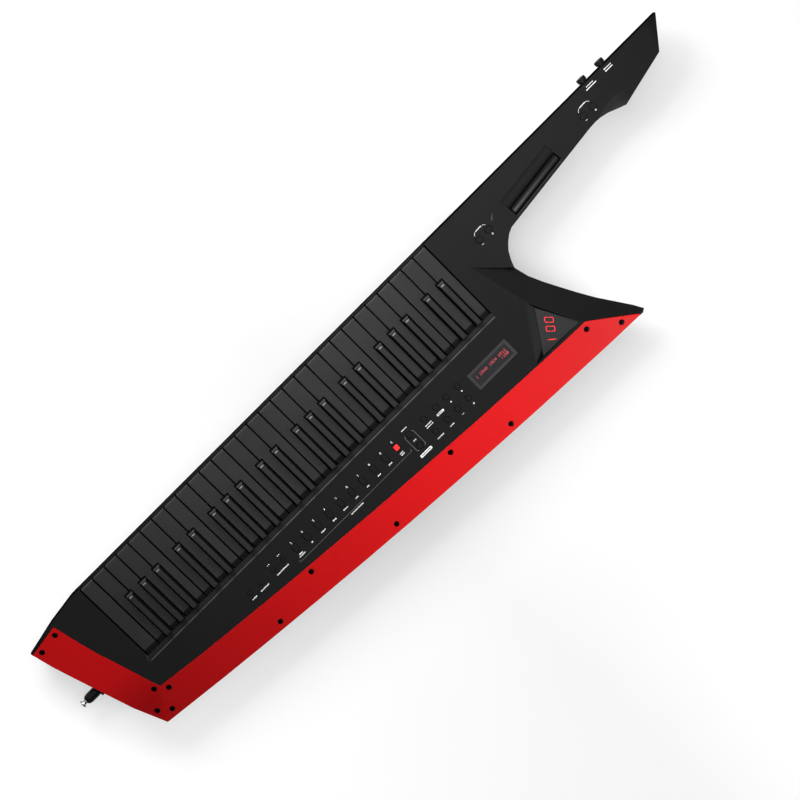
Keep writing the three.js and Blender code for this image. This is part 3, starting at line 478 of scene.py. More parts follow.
def smooth_group(angle, folds=None):
    """Smooth faces, with edges over the angle kept sharp, and long folds between the two angles in
    folds too."""
    if (angle, folds) in _groups:
        return _groups[angle, folds]
    g = bpy.data.node_groups.new("smooth_%d%s" % (angle, "_folds" if folds else ""), "GeometryNodeTree")
    g.interface.new_socket("Geometry", in_out="INPUT", socket_type="NodeSocketGeometry")
    g.interface.new_socket("Geometry", in_out="OUTPUT", socket_type="NodeSocketGeometry")
    n, l = g.nodes, g.links
    i, o = n.new("NodeGroupInput"), n.new("NodeGroupOutput")
    f = n.new("GeometryNodeSetShadeSmooth")
    f.domain = "FACE"
    f.inputs["Shade Smooth"].default_value = True
    e = n.new("GeometryNodeSetShadeSmooth")
    e.domain = "EDGE"
    e.inputs["Shade Smooth"].default_value = False
    a = n.new("GeometryNodeInputMeshEdgeAngle")
    c = n.new("FunctionNodeCompare")
    c.data_type = "FLOAT"
    c.operation = "GREATER_THAN"
    c.inputs[1].default_value = math.radians(angle)
    l.new(i.outputs[0], f.inputs["Geometry"])
    l.new(f.outputs[0], e.inputs["Geometry"])
    l.new(a.outputs[0], c.inputs[0])
    chosen = c.outputs[0]
    if folds:
        ends = n.new("GeometryNodeInputMeshEdgeVertices")
        length = n.new("ShaderNodeVectorMath")
        length.operation = "DISTANCE"
        l.new(ends.outputs["Position 1"], length.inputs[0])
        l.new(ends.outputs["Position 2"], length.inputs[1])

        def test(op, value, limit):
            t = n.new("FunctionNodeCompare")
            t.data_type = "FLOAT"
            t.operation = op
            t.inputs[1].default_value = limit
            l.new(value, t.inputs[0])
            return t.outputs[0]

        def both(x, y, op="AND"):
            t = n.new("FunctionNodeBooleanMath")
            t.operation = op
            l.new(x, t.inputs[0])
            l.new(y, t.inputs[1])
            return t.outputs[0]

        fold = both(test("GREATER_THAN", a.outputs[0], math.radians(folds[0])), test("LESS_THAN", a.outputs[0], math.radians(folds[1])))
        fold = both(fold, test("GREATER_THAN", length.outputs["Value"], 0.007))
        first = n.new("ShaderNodeSeparateXYZ")
        l.new(ends.outputs["Position 1"], first.inputs[0])
        fold = both(fold, test("LESS_THAN", first.outputs[0], 0.5))
        chosen = both(chosen, fold, "OR")
    l.new(chosen, e.inputs["Selection"])
    l.new(e.outputs[0], o.inputs[0])
    _groups[angle, folds] = g
    return g


def add_smoothing(ob, angle, folds=None):
    m = ob.modifiers.new("smooth", "NODES")
    m.node_group = smooth_group(angle, folds)
    w = ob.modifiers.new("normals", "WEIGHTED_NORMAL")
    w.keep_sharp = True
    w.weight = 60


def dress(node, material, width, segments=3, clamp=True, angle=28, smooth=35, flat=0.4, folds=None):
    """A CAD node in its finished look: flat faces joined, edges rounded, shading smooth."""
    ob = NODES[node]
    w = ob.modifiers.new("weld", "WELD")
    w.merge_threshold = 0.00002
    if flat:
        d = ob.modifiers.new("flat", "DECIMATE")
        d.decimate_type = "DISSOLVE"
        d.angle_limit = math.radians(flat)
    if width:
        b = ob.modifiers.new("edges", "BEVEL")
        b.width = width
        b.segments = segments
        b.limit_method = "ANGLE"
        b.angle_limit = math.radians(angle)
        b.use_clamp_overlap = clamp
        b.miter_outer = "MITER_SHARP"
    add_smoothing(ob, smooth, folds)
    ob.data.materials.clear()
    ob.data.materials.append(material.m)
    return ob


def rounded(points, radius, n=5):
    """The corners of a counter-clockwise polygon rounded."""
    out = []
    count = len(points)
    radii = radius if isinstance(radius, (list, tuple)) else [radius] * count
    for i in range(count):
        p, a, b = Vector(points[i]), Vector(points[i - 1]), Vector(points[(i + 1) % count])
        u, v = (a - p).normalized(), (b - p).normalized()
        half = math.acos(max(-1, min(1, u.dot(v)))) / 2
        r = radii[i]
        if r <= 0:
            out.append(tuple(p))
            continue
        back = r / math.tan(half)
        centre = p + (u + v).normalized() * (r / math.sin(half))
        s, e = p + u * back - centre, p + v * back - centre
        turn = math.atan2(s.x * e.y - s.y * e.x, s.dot(e))
        for k in range(n + 1):
            t = turn * k / n
            out.append((centre.x + s.x * math.cos(t) - s.y * math.sin(t), centre.y + s.x * math.sin(t) + s.y * math.cos(t)))
    return out


def rect(x0, x1, y0, y1, r=0.0, n=5):
    ring = [(x0, y0), (x1, y0), (x1, y1), (x0, y1)]
    return rounded(ring, r, n) if r else ring


def inward(ring, d):
    """The ring moved inwards by d."""
    out = []
    count = len(ring)
    for i in range(count):
        p, a, b = Vector(ring[i]), Vector(ring[i - 1]), Vector(ring[(i + 1) % count])
        u, v = (p - a).normalized(), (b - p).normalized()
        n1, n2 = Vector((-u.y, u.x)), Vector((-v.y, v.x))
        m = n1 + n2
        m = m / max(0.25, m.length_squared) * 2 if m.length > 1e-6 else n1
        out.append((p.x + m.x * d, p.y + m.y * d))
    return out


def loft(bm, rings, close_bottom=True, close_top=True):
    rows = [[bm.verts.new(p) for p in ring] for ring in rings]
    n = len(rows[0])
    for a, b in zip(rows, rows[1:]):
        for i in range(n):
            bm.faces.new((a[i], a[(i + 1) % n], b[(i + 1) % n], b[i]))
    if close_bottom:
        bm.faces.new(list(reversed(rows[0])))
    if close_top:
        bm.faces.new(rows[-1])
    return rows


def plate_rings(ring, z0, z1, bevel, steps=3, place=None):
    """Rings of a plate with a rounded top edge. place maps (x, y, h) to a point."""
    place = place or (lambda x, y, h: (x * MM, y * MM, h * MM))
    rings = [[place(x, y, z0) for x, y in ring]]
    for k in range(steps + 1):
        a = math.pi / 2 * k / steps
        r = inward(ring, bevel * (1 - math.cos(a))) if k else ring
        rings.append([place(x, y, z1 - bevel + bevel * math.sin(a)) for x, y in r])
    return rings


def plate(bm, ring, z0, z1, bevel=0.2, steps=3, place=None):
    loft(bm, plate_rings(ring, z0, z1, bevel, steps, place))


def slab(bm, ring, z0, z1, place=None):
    place = place or (lambda x, y, h: (x * MM, y * MM, h * MM))
    loft(bm, [[place(x, y, z0) for x, y in ring], [place(x, y, z1) for x, y in ring]])


def lathe(bm, profile, segments=40, ribs=0, rib_depth=0.0, rib_rows=()):
    """A body of revolution about Z: profile is (radius, z) in millimetres from bottom to top. Rows
    in rib_rows carry ribs."""
    rings = []
    for j, (r, z) in enumerate(profile):
        ring = []
        for i in range(segments):
            a = 2 * math.pi * i / segments
            rr = r
            if ribs and j in rib_rows:
                rr -= rib_depth * (0.5 + 0.5 * math.cos(ribs * a))
            ring.append((rr * math.cos(a) * MM, rr * math.sin(a) * MM, z * MM))
        rings.append(ring)
    loft(bm, rings)


def frame_matrix(origin, x_axis, z_axis):
    z = Vector(z_axis).normalized()
    x = Vector(x_axis)
    x = (x - z * x.dot(z)).normalized()
    y = z.cross(x)
    m = Matrix((x, y, z)).transposed().to_4x4()
    m.translation = Vector(origin)
    return m


# ------------------------------------------------------------------ camera, floor and light
TILT = math.radians(9.15)
TARGET = Vector((-5.768, 8.976, 75.0)) * MM
BACK = Vector((0.0, math.sin(TILT), math.cos(TILT)))
RIGHT = Vector((1.0, -math.cos(TILT), math.sin(TILT))) / math.sqrt(2)
UP = Vector((1.0, math.cos(TILT), -math.sin(TILT))) / math.sqrt(2)

cam_data = bpy.data.cameras.new("camera")
cam_data.lens = 107.4
cam_data.sensor_width = 36.0
cam_data.clip_start = 0.05
cam_data.clip_end = 30.0
cam = bpy.data.objects.new("camera", cam_data)
rotation = Matrix((RIGHT, UP, BACK)).transposed().to_4x4()
rotation.translation = TARGET + BACK * 3.360
cam.matrix_world = rotation
scene.collection.objects.link(cam)
scene.camera = cam


def make_floor():
    bm = bmesh.new()
    n, size = 8, 7.0
    grid = [[bm.verts.new(((i / n - 0.5) * size, (j / n - 0.5) * size, -0.0004)) for i in range(n + 1)] for j in range(n + 1)]
    for j in range(n):
        for i in range(n):
            bm.faces.new((grid[j][i], grid[j][i + 1], grid[j + 1][i + 1], grid[j + 1][i]))
    me = bpy.data.meshes.new("floor")
    bm.to_mesh(me)
    bm.free()
    ob = bpy.data.objects.new("floor", me)
    scene.collection.objects.link(ob)
    m = Mat("floor_pale")
    m.colour(m.mix(m.span(m.noise(3.0, 2.0, 0.5), 0.0, 1.0), (0.375, 0.375, 0.375, 1), (0.385, 0.385, 0.385, 1)))
    m.rough(m.span(m.noise(40.0, 2.0, 0.5), 0.75, 0.85))
    m.fixed(specular=0.1)
    # a light table: the floor glows a little of itself, more towards the tail
    m.p.inputs["Emission Color"].default_value = (1.0, 1.0, 1.0, 1)
    m.link(m.span(m.place()[0], 0.434, 0.709, -0.1, -0.75), m.p.inputs["Emission Strength"])
    me.materials.append(m.m)
    ob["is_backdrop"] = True


make_floor()

world = bpy.data.worlds.new("studio")
scene.world = world
world.use_nodes = True
world.node_tree.nodes["Background"].inputs[0].default_value = (1.0, 1.0, 1.0, 1)
world.node_tree.nodes["Background"].inputs[1].default_value = 0.01


def area(name, place, target, size, power, shape_y=None):
    d = bpy.data.lights.new(name, "AREA")
    d.energy = power
    d.shape = "RECTANGLE" if shape_y else "SQUARE"
    d.size = size
    if shape_y:
        d.size_y = shape_y
    ob = bpy.data.objects.new(name, d)
    ob.visible_camera = False
    scene.collection.objects.link(ob)
    z = (Vector(place) - Vector(target)).normalized()
    ob.matrix_world = frame_matrix(place, Vector((1, 0, 0)) if abs(z.x) < 0.9 else Vector((0, 1, 0)), z)
    return ob


area("top", (0.0, 0.3, 2.6), (0.0, 0.0, 0.0), 1.4, 22.7)
area("back", (0.0, 1.35, 1.1), (0.0, 0.0, 0.0), 0.9, 33.1)
area("neck", (0.45, 0.45, 0.8), (0.25, 0.05, 0.0), 0.5, 4.2)
area("front", (0.7, -1.3, 0.8), (0.25, 0.0, 0.0), 0.8, 22.5)
scene.view_settings.view_transform = "Standard"
scene.view_settings.look = "None"
scene.view_settings.gamma = 0.85

# ------------------------------------------------------------------ the CAD nodes, dressed
def draft_group():
    """Moves what lies over a height towards the key's middle line."""
    g = bpy.data.node_groups.new("draft", "GeometryNodeTree")
    g.interface.new_socket("Geometry", in_out="INPUT", socket_type="NodeSocketGeometry")
    g.interface.new_socket("Geometry", in_out="OUTPUT", socket_type="NodeSocketGeometry")
    n, l = g.nodes, g.links
    i, o = n.new("NodeGroupInput"), n.new("NodeGroupOutput")
    place, box = n.new("GeometryNodeInputPosition"), n.new("GeometryNodeBoundBox")
    sep, low, high = n.new("ShaderNodeSeparateXYZ"), n.new("ShaderNodeSeparateXYZ"), n.new("ShaderNodeSeparateXYZ")
    l.new(i.outputs[0], box.inputs[0])
    l.new(place.outputs[0], sep.inputs[0])
    l.new(box.outputs["Min"], low.inputs[0])
    l.new(box.outputs["Max"], high.inputs[0])

    def calc(op, a, b):
        m = n.new("ShaderNodeMath")
        m.operation = op
        for k, v in enumerate((a, b)):
            if isinstance(v, float):
                m.inputs[k].default_value = v
            else:
                l.new(v, m.inputs[k])
        return m.outputs[0]

    middle = calc("MULTIPLY", calc("ADD", low.outputs[0], high.outputs[0]), 0.5)
    side = n.new("ShaderNodeMath")
    side.operation = "SIGN"
    l.new(calc("SUBTRACT", sep.outputs[0], middle), side.inputs[0])
    over = calc("GREATER_THAN", sep.outputs[2], 0.078)
    shift = n.new("ShaderNodeCombineXYZ")
    l.new(calc("MULTIPLY", calc("MULTIPLY", side.outputs[0], over), -0.0007), shift.inputs[0])
    move = n.new("GeometryNodeSetPosition")
    l.new(i.outputs[0], move.inputs[0])
    l.new(shift.outputs[0], move.inputs["Offset"])
    l.new(move.outputs[0], o.inputs[0])
    return g


DRAFT = draft_group()


dress("upper_case", CASE, 0.0006, folds=(12.5, 28.9))
dress("lower_case", CASE_BACK, 0.0009)
dress("edge_blade", RED, 0.00045, clamp=False)
dress("keybed_frame", FRAME, 0.0004)
for name in NODES:
    if name.startswith("key_"):
        sharp = "_sharp" in name
        if sharp:
            NODES[name].modifiers.new("draft", "NODES").node_group = DRAFT
        dress(name, SHARP if sharp else KEY, 0.0014 if sharp else 0.001, segments=4)
for name in ("panel_button_mat", "shift_button_pair", "octave_button_pair"):
    dress(name, RUBBER, 0.0005, clamp=False)

# surface of the blade, for the screws that sit in it
trees = {n: BVHTree.FromPolygons([v.co for v in NODES[n].data.vertices], [tuple(p.vertices) for p in NODES[n].data.polygons])
         for n in ("edge_blade", "upper_case")}


def height(node, x, y, from_z=0.12):
    hit = trees[node].ray_cast(Vector((x * MM, y * MM, from_z)), Vector((0, 0, -1)))
    return hit[0].z / MM if hit[0] is not None else None


# ------------------------------------------------------------------ blade screws
SCREWS = [(-611.9, 113.6), (-580.8, 119.0), (-539.6, -34.6), (-559.8, -61.1), (-523.2, -47.8), (-542.9, -74.3),
          (-347.7, -95.8), (-266.0, -74.9), (-133.5, -114.8), (-7.5, -95.4), (81.8, -129.3), (251.8, -108.4), (295.0, -138.7)]


def socket_screw(name, matrix, r, top, bottom, hexagon, body="root", material=SCREW):
    """A dished button head with a hexagon socket."""
    n = 48
    bm = bmesh.new()

    def ring(radius, z, hexed=0.0):
        pts = []
        for i in range(n):
            a = 2 * math.pi * i / n
            k = a % (math.pi / 3) - math.pi / 6
            rh = radius / math.cos(k)
            rr = radius * (1 - hexed) + rh * hexed
            pts.append((rr * math.cos(a) * MM, rr * math.sin(a) * MM, z * MM))
        return pts

    rings = [ring(r, bottom), ring(r, top - 1.0), ring(r - 0.05, top - 0.72), ring(r - 0.28, top - 0.4), ring(r - 0.75, top - 0.12), ring(r - 1.2, top),
             ring(hexagon + 0.22, top, 0.7), ring(hexagon, top - 0.14, 1.0), ring(hexagon, top - 1.7, 1.0), ring(hexagon * 0.5, top - 1.95, 1.0)]
    loft(bm, rings)
    return finish_mesh(name, bm, material, body, matrix, smooth=32)


for k, (x, y) in enumerate(SCREWS):
    pts = []
    for a in range(12):
        px, py = x + 6.4 * math.cos(a * math.pi / 6), y + 6.4 * math.sin(a * math.pi / 6)
        z = height("edge_blade", px, py)
        if z is not None and z > 55:
            pts.append((px, py, z))
    # least-squares plane z = a dx + b dy + c
    sxx = sum((p[0] - x) ** 2 for p in pts)
    syy = sum((p[1] - y) ** 2 for p in pts)
    sxy = sum((p[0] - x) * (p[1] - y) for p in pts)
    sx, sy, sn = sum(p[0] - x for p in pts), sum(p[1] - y for p in pts), len(pts)
    A = Matrix(((sxx, sxy, sx), (sxy, syy, sy), (sx, sy, sn)))
    B = Vector((sum((p[0] - x) * p[2] for p in pts), sum((p[1] - y) * p[2] for p in pts), sum(p[2] for p in pts)))
    sol = A.inverted() @ B
    normal = Vector((-sol.x, -sol.y, 1.0)).normalized()
    turned = random.Random(k).uniform(0, math.pi / 3)
    m = frame_matrix((x * MM, y * MM, sol.z * MM), (math.cos(turned), math.sin(turned), 0), normal)
    socket_screw("blade_screw_%02d" % (k + 1), m, 3.85, 0.35, -4.0, 1.5)

# ------------------------------------------------------------------ strap button at the tail
PEG_Y, PEG_Z = 16.7, 43.5
peg_matrix = frame_matrix((-599.7 * MM, PEG_Y * MM, PEG_Z * MM), (0, 1, 0), (-1, 0, 0))
bm = bmesh.new()
lathe(bm, [(6.8, 0.0), (7.5, 0.35), (7.5, 2.2), (7.2, 2.6), (7.2, 3.2), (7.5, 3.6), (7.45, 17.0), (7.1, 19.2), (6.3, 21.4), (5.7, 22.3), (5.2, 22.7)], 48)
collar = finish_mesh("strap_collar", bm, CONTROL, "root", peg_matrix, smooth=40)
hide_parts("strap_peg")
bm = bmesh.new()
lathe(bm, [(4.6, 22.72), (4.7, 22.9), (4.6, 23.5), (3.6, 24.2), (3.3, 25.0), (3.3, 27.0), (3.7, 27.9), (5.2, 28.5), (5.85, 28.9), (6.0, 29.5), (5.9, 30.2), (5.4, 30.8), (4.4, 31.2),
           (2.2, 31.35), (2.0, 31.3), (1.7, 30.9), (1.0, 30.8)], 48)
finish_mesh("strap_button", bm, STEEL, "root", peg_matrix, smooth=40)

# ------------------------------------------------------------------ edge knobs
for k, x in ((1, 491.4), (2, 526.5)):
    m = frame_matrix((x * MM, 130.0 * MM, 66.0 * MM), (0, 0, 1), (0, 1, 0))
    bm = bmesh.new()
    lathe(bm, [(2.8, 0.0), (3.0, 0.3), (3.0, 11.9), (5.0, 12.0), (5.9, 12.1), (6.0, 12.4), (6.0, 13.9), (6.6, 14.1), (7.15, 14.4), (7.3, 14.9), (7.3, 19.3), (7.1, 19.9), (6.6, 20.3),
               (5.9, 20.4), (5.6, 20.2), (1.0, 20.15)], 112, ribs=28, rib_depth=0.42, rib_rows=(9, 10))
    knob = finish_mesh("ribbed_knob_%d" % k, bm, CONTROL, "edge_knob_%d" % k, m, smooth=34)
    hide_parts("edge_knob_%d" % k)
    bm = bmesh.new()
    plate(bm, rect(1.6, 5.3, -0.35, 0.35, 0.3, 3), 20.1, 20.22, 0.05, 2)
    finish_mesh("knob_line_%d" % k, bm, INK, "edge_knob_%d" % k, m)
    # ring where the shaft leaves the wall
    bm = bmesh.new()
    n = 40
    rings = []
    for r, z in ((3.35, 11.62), (4.6, 11.62), (4.7, 11.7), (4.5, 11.85), (3.45, 11.85), (3.35, 11.75)):
        rings.append([(r * math.cos(2 * math.pi * i / n) * MM, r * math.sin(2 * math.pi * i / n) * MM, z * MM) for i in range(n)])
    rows = loft(bm, rings, False, False)
    for i in range(n):
        bm.faces.new((rows[-1][i], rows[-1][(i + 1) % n], rows[0][(i + 1) % n], rows[0][i]))
    finish_mesh("knob_bush_%d" % k, bm, CONTROL, "root", m, smooth=40)

# ------------------------------------------------------------------ buttons: the lit cap and the printed marks
PANEL_Z = 78.0
CAP_Z = 79.2
RECT_X0, RECT_PITCH, RECT_Y, RECT_W, RECT_H = -257.0, 22.27, -34.6, 8.2, 11.8
lit_x = RECT_X0 + 9 * RECT_PITCH
bm = bmesh.new()
w, h = RECT_W / 2 - 0.55, 3.9
plate(bm, rect(lit_x - w, lit_x + w, RECT_Y - 0.3 - h, RECT_Y - 0.3 + h, 0.8, 4), CAP_Z - 0.25, CAP_Z + 0.22, 0.2, 3)
finish_mesh("lit_button_lens", bm, LAMP, "panel_button_mat", smooth=40)

STROKES = {
    "0": [[(0.15, 0), (0.85, 0), (1, 0.2), (1, 0.8), (0.85, 1), (0.15, 1), (0, 0.8), (0, 0.2), (0.15, 0)]],
    "1": [[(0.15, 0.75), (0.55, 1), (0.55, 0)], [(0.15, 0), (0.95, 0)]],
    "2": [[(0, 0.8), (0.15, 1), (0.85, 1), (1, 0.82), (1, 0.6), (0, 0.02), (1, 0.02)]],
    "3": [[(0, 0.9), (0.15, 1), (0.85, 1), (1, 0.85), (1, 0.65), (0.8, 0.52), (0.35, 0.52)], [(0.8, 0.52), (1, 0.38), (1, 0.15), (0.85, 0), (0.15, 0), (0, 0.12)]],
    "4": [[(0.75, 0), (0.75, 1), (0, 0.3), (1, 0.3)]],
    "5": [[(0.95, 1), (0.1, 1), (0.05, 0.55), (0.8, 0.58), (1, 0.42), (1, 0.15), (0.85, 0), (0.1, 0), (0, 0.1)]],
    "6": [[(0.9, 1), (0.3, 1), (0, 0.6), (0, 0.15), (0.15, 0), (0.85, 0), (1, 0.15), (1, 0.42), (0.85, 0.55), (0.05, 0.52)]],
    "7": [[(0, 1), (1, 1), (0.35, 0)]],
    "8": [[(0.2, 0.53), (0.03, 0.68), (0.03, 0.88), (0.2, 1), (0.8, 1), (0.97, 0.88), (0.97, 0.68), (0.8, 0.53), (0.2, 0.53), (0, 0.38), (0, 0.15), (0.2, 0), (0.8, 0), (1, 0.15),
           (1, 0.38), (0.8, 0.53)]],
    "9": [[(0.1, 0), (0.7, 0), (1, 0.4), (1, 0.85), (0.85, 1), (0.15, 1), (0, 0.85), (0, 0.58), (0.15, 0.45), (0.95, 0.48)]],
}


class Print:
    """Thin printed marks on a surface: bars, rings and figures, all closed slabs."""

    def __init__(self, z=PANEL_Z, thick=0.05):
        self.bm = bmesh.new()
        self.z, self.thick = z, thick

    def ring(self, pts, angle=0.0, at=(0, 0), lift=0.0):
        c, s = math.cos(angle), math.sin(angle)
        pts = [(at[0] + x * c - y * s, at[1] + x * s + y * c) for x, y in pts]
        slab(self.bm, pts, self.z - 0.02 + lift, self.z + self.thick + lift)

    def bar(self, x, y, w, h, angle=0.0, r=0.0):
        r = min(r, w / 2 - 0.01, h / 2 - 0.01)
        self.ring(rect(-w / 2, w / 2, -h / 2, h / 2, r, 3), angle, (x, y))

    def word(self, x, y, w, h=1.7, angle=0.0, seed=0, letters=None):
        """A row of little blocks that stands for a legend."""
        rnd = random.Random(seed)
        n = letters or max(2, round(w / (h * 0.82)))
        cell = w / n
        c, s = math.cos(angle), math.sin(angle)
        for i in range(n):
            cw = cell * rnd.uniform(0.6, 0.76)
            hh = h * rnd.choice((1.0, 1.0, 1.0, 0.86))
            px = -w / 2 + cell * (i + 0.5)
            self.bar(x + px * c, y + px * s, cw, hh, angle, 0.25)

    def stroke(self, pts, t, angle=0.0, at=(0, 0), lift=0.0):
        for k, ((x0, y0), (x1, y1)) in enumerate(zip(pts, pts[1:])):
            d = Vector((x1 - x0, y1 - y0))
            length = d.length
            if length < 1e-6:
                continue
            a = math.atan2(d.y, d.x)
            c, s = math.cos(a), math.sin(a)
            ring = rect(-t / 2, length + t / 2, -t / 2, t / 2, t * 0.42, 3)
            ring = [(x0 + px * c - py * s, y0 + px * s + py * c) for px, py in ring]
            self.ring(ring, angle, at, lift + 0.004 * (k % 3))

    def figure(self, text, x, y, h=2.2, angle=0.0, t=0.32):
        w = h * 0.6
        step = w * 1.45
        total = step * len(text) - (step - w)
        for i, ch in enumerate(text):
            ox = -total / 2 + i * step
            for line in STROKES[ch]:
                self.stroke([(ox + px * w, (py - 0.5) * h) for px, py in line], t, angle, (x, y))

    def arrow(self, x, y, size, direction=0.0):
        pts = [(-0.5 * size, -0.5 * size), (0.55 * size, 0), (-0.5 * size, 0.5 * size)]
        self.ring(rounded(pts, 0.12 * size, 2), direction, (x, y))

    def disc(self, x, y, r):
        self.ring([(r * math.cos(2 * math.pi * i / 20), r * math.sin(2 * math.pi * i / 20)) for i in range(20)], 0, (x, y))

    def done(self, name, material=INK, body="root"):
        return finish_mesh(name, self.bm, material, body)


p = Print()
# small round buttons
p.word(-347.9, -43.7, 9.5, 2.0, seed=1)
p.word(-327.2, -43.7, 16.0, 2.0, seed=2)
p.word(-291.7, -43.7, 23.0, 2.0, seed=3)
p.arrow(-303.3, -24.2, 2.0, math.pi)
p.disc(-300.2, -24.2, 0.75)
p.arrow(-280.3, -24.2, 2.0)
p.disc(-283.4, -24.2, 0.75)
# ten rectangular buttons
widths = [(7.0, 11.5), (3.6,), (9.0,), (6.8,), (9.0,), (6.0,), (5.0,), (6.2,), (7.0,), (6.4, 6.4)]
for i in range(10):
    x = RECT_X0 + RECT_PITCH * i
    p.figure(str((i + 1) % 10), x, -24.6, 2.9, 0.0, 0.5)
    for j, width in enumerate(widths[i]):
        p.word(x, -45.4 - 2.9 * j, width, 2.0, seed=20 + 3 * i + j)
# value pair
p.word(-31.1, -24.0, 10.4, 1.8, seed=61)
p.word(-31.1, -46.0, 5.6, 1.6, seed=62)
# main grid
p.word(-1.1, -43.3, 12.6, 1.7, seed=63)
p.word(-1.1, -46.6, 12.6, 1.7, seed=64)
p.bar(22.0, -44.0, 13.0, 3.2, 0, 0.8)
p.arrow(43.1, -43.9, 2.7, math.pi)
p.arrow(65.4, -43.9, 2.7)
p.word(-1.1, -68.4, 12.6, 1.8, seed=66)
p.word(21.6, -68.4, 8.6, 1.8, seed=67)
p.bar(43.6, -68.4, 3.6, 0.7, 0, 0.2)
p.bar(64.9, -68.4, 3.6, 0.7, 0, 0.2)
p.bar(64.9, -68.4, 0.7, 3.6, 0, 0.2)
# filled box under the value pair
p.bar(-31.1, -69.6, 21.5, 4.4, 0, 1.0)
p.done("panel_print")

q = Print(thick=0.09)
q.word(-31.1, -69.6, 17.0, 1.9, seed=65)
q.word(22.0, -44.0, 10.0, 1.6, seed=68)
q.done("panel_print_dark", CASE)

g = Print(thick=0.045)
g.bar(-155.5, -53.9, 222.0, 0.5)
g.bar(-266.3, -52.6, 0.5, 3.0)
g.bar(-44.7, -52.6, 0.5, 3.0)
for side in (-1, 1):
    x = -31.1 + side * 8.2
    g.bar(x, -47.0, 0.7, 25.0, 0, 0.2)
    g.bar(x - side * 1.4, -33.6, 3.2, 0.7, -side * 0.55, 0.2)
    g.bar(x - side * 1.4, -60.4, 3.2, 0.7, side * 0.55, 0.2)
g.done("panel_lines", INK_GREY)
p = Print()
p.word(-156.7, -57.2, 24.0, 1.9, seed=70)
# neck pairs: a small arched bracket with its legend, and a mark under each button
for (cx, cy, span, up, low) in ((241.1, 101.8, 20.0, 102.9, (82.6, 83.6)), (466.0, 121.4, 19.0, 122.6, (103.2, 104.2))):
    p.word(cx, up, 11.5, 1.7, 0.05, seed=int(cx))
    for side in (-1, 1):
        p.bar(cx + side * 8.0, up - 0.9 + side * 0.35, 3.2, 0.6, 0.05 - side * 0.5, 0.2)
        p.bar(cx + side * 10.2, up - 2.9 + side * 0.45, 2.4, 0.6, 0.05 - side * 1.15, 0.2)
    p.bar(cx - span / 2, low[0], 3.0, 0.75, 0.05, 0.2)
    p.bar(cx + span / 2, low[1], 3.0, 0.75, 0.05, 0.2)
    p.bar(cx + span / 2, low[1], 0.75, 3.0, 0.05, 0.2)
for x, top, low in ((494.0, 13.4, 19.4), (529.0, 13.8, 13.8)):
    p.word(x, 136.2, top, 1.5, seed=int(x))
    p.word(x, 132.7, low, 1.7, seed=int(x) + 1)
p.done("neck_print")
g = Print(thick=0.045)
g.bar(266.5, 101.0, 9.5, 0.5, 0.75)
g.done("neck_line", INK_GREY)

# ------------------------------------------------------------------ text display
bm = bmesh.new()
plate(bm, rect(84.05, 159.35, -62.55, -33.85, 1.0, 4), PANEL_Z - 1.15, PANEL_Z - 0.12, 0.2, 3)
finish_mesh("text_window", bm, WINDOW_DARK, "root", smooth=40)
# the printed border round the pane
bm = bmesh.new()
outer = rect(84.5, 158.9, -62.1, -34.3, 0.8, 4)
inner = rect(88.6, 154.8, -58.2, -37.8, 0.8, 4)
rings = [[(x * MM, y * MM, (PANEL_Z + h) * MM) for x, y in ring] for ring, h in ((outer, -0.14), (outer, -0.085), (inner, -0.085), (inner, -0.14))]
rows = loft(bm, rings, False, False)
n = len(outer)
for i in range(n):
    bm.faces.new((rows[-1][i], rows[-1][(i + 1) % n], rows[0][(i + 1) % n], rows[0][i]))
finish_mesh("text_window_border", bm, WINDOW_EDGE, "root")

DOTS = {
    "0": ["01110", "10001", "10011", "10101", "11001", "10001", "01110"],
    "1": ["00100", "01100", "00100", "00100", "00100", "00100", "01110"],
    "2": ["01110", "10001", "00001", "00110", "01000", "10000", "11111"],
    "4": ["00010", "00110", "01010", "10010", "11111", "00010", "00010"],
    "5": ["11111", "10000", "11110", "00001", "00001", "10001", "01110"],
    "6": ["00110", "01000", "10000", "11110", "10001", "10001", "01110"],
    "8": ["01110", "10001", "10001", "01110", "10001", "10001", "01110"],
    "9": ["01110", "10001", "10001", "01111", "00001", "00010", "01100"],
    ":": ["00000", "00100", "00100", "00000", "00100", "00100", "00000"],
    ">": ["01000", "00100", "00010", "00001", "00010", "00100", "01000"],
    " ": ["00000"] * 7,
}
bm = bmesh.new()


def dot_row(text, x_left, y_top, pitch):
    s = pitch * 0.47
    for i, ch in enumerate(text):
        for r, row in enumerate(DOTS[ch]):
            for c, on in enumerate(row):
                if on == "1":
                    x = x_left + (i * 6 + c + 0.5) * pitch
                    y = y_top - (r + 0.5) * pitch
                    slab(bm, [(x - s, y - s), (x + s, y - s), (x + s, y + s), (x - s, y + s)], PANEL_Z - 0.12, PANEL_Z - 0.06)


dot_row("1 2048 1024 0512", 92.6, -43.4, 0.605)
dot_row(">100", 136.7, -49.0, 0.605)
finish_mesh("text_display_dots", bm, DOT, "root")

# ------------------------------------------------------------------ triangular display
T1, T2, T3 = Vector((220.3, -33.4, 73.4)), Vector((181.8, -92.87, 70.8)), Vector((252.0, -93.2, 78.0))
tri_n = (T2 - T1).cross(T3 - T1).normalized()
if tri_n.z < 0:
    tri_n = -tri_n


def on_triangle(x, y, h):
    z = T1.z - (tri_n.x * (x - T1.x) + tri_n.y * (y - T1.y)) / tri_n.z
    return ((x + tri_n.x * h) * MM, (y + tri_n.y * h) * MM, (z + tri_n.z * h) * MM)


ring = [(T1.x, T1.y), (T2.x, T2.y), (T3.x, T3.y)]
ring = inward(ring, 0.3)
ring = rounded(ring, [0.8, 0.8, 2.0], 4)
bm = bmesh.new()
plate(bm, ring, 0.06, 0.75, 0.25, 3, place=on_triangle)
finish_mesh("triangle_window", bm, WINDOW, "root", smooth=40)

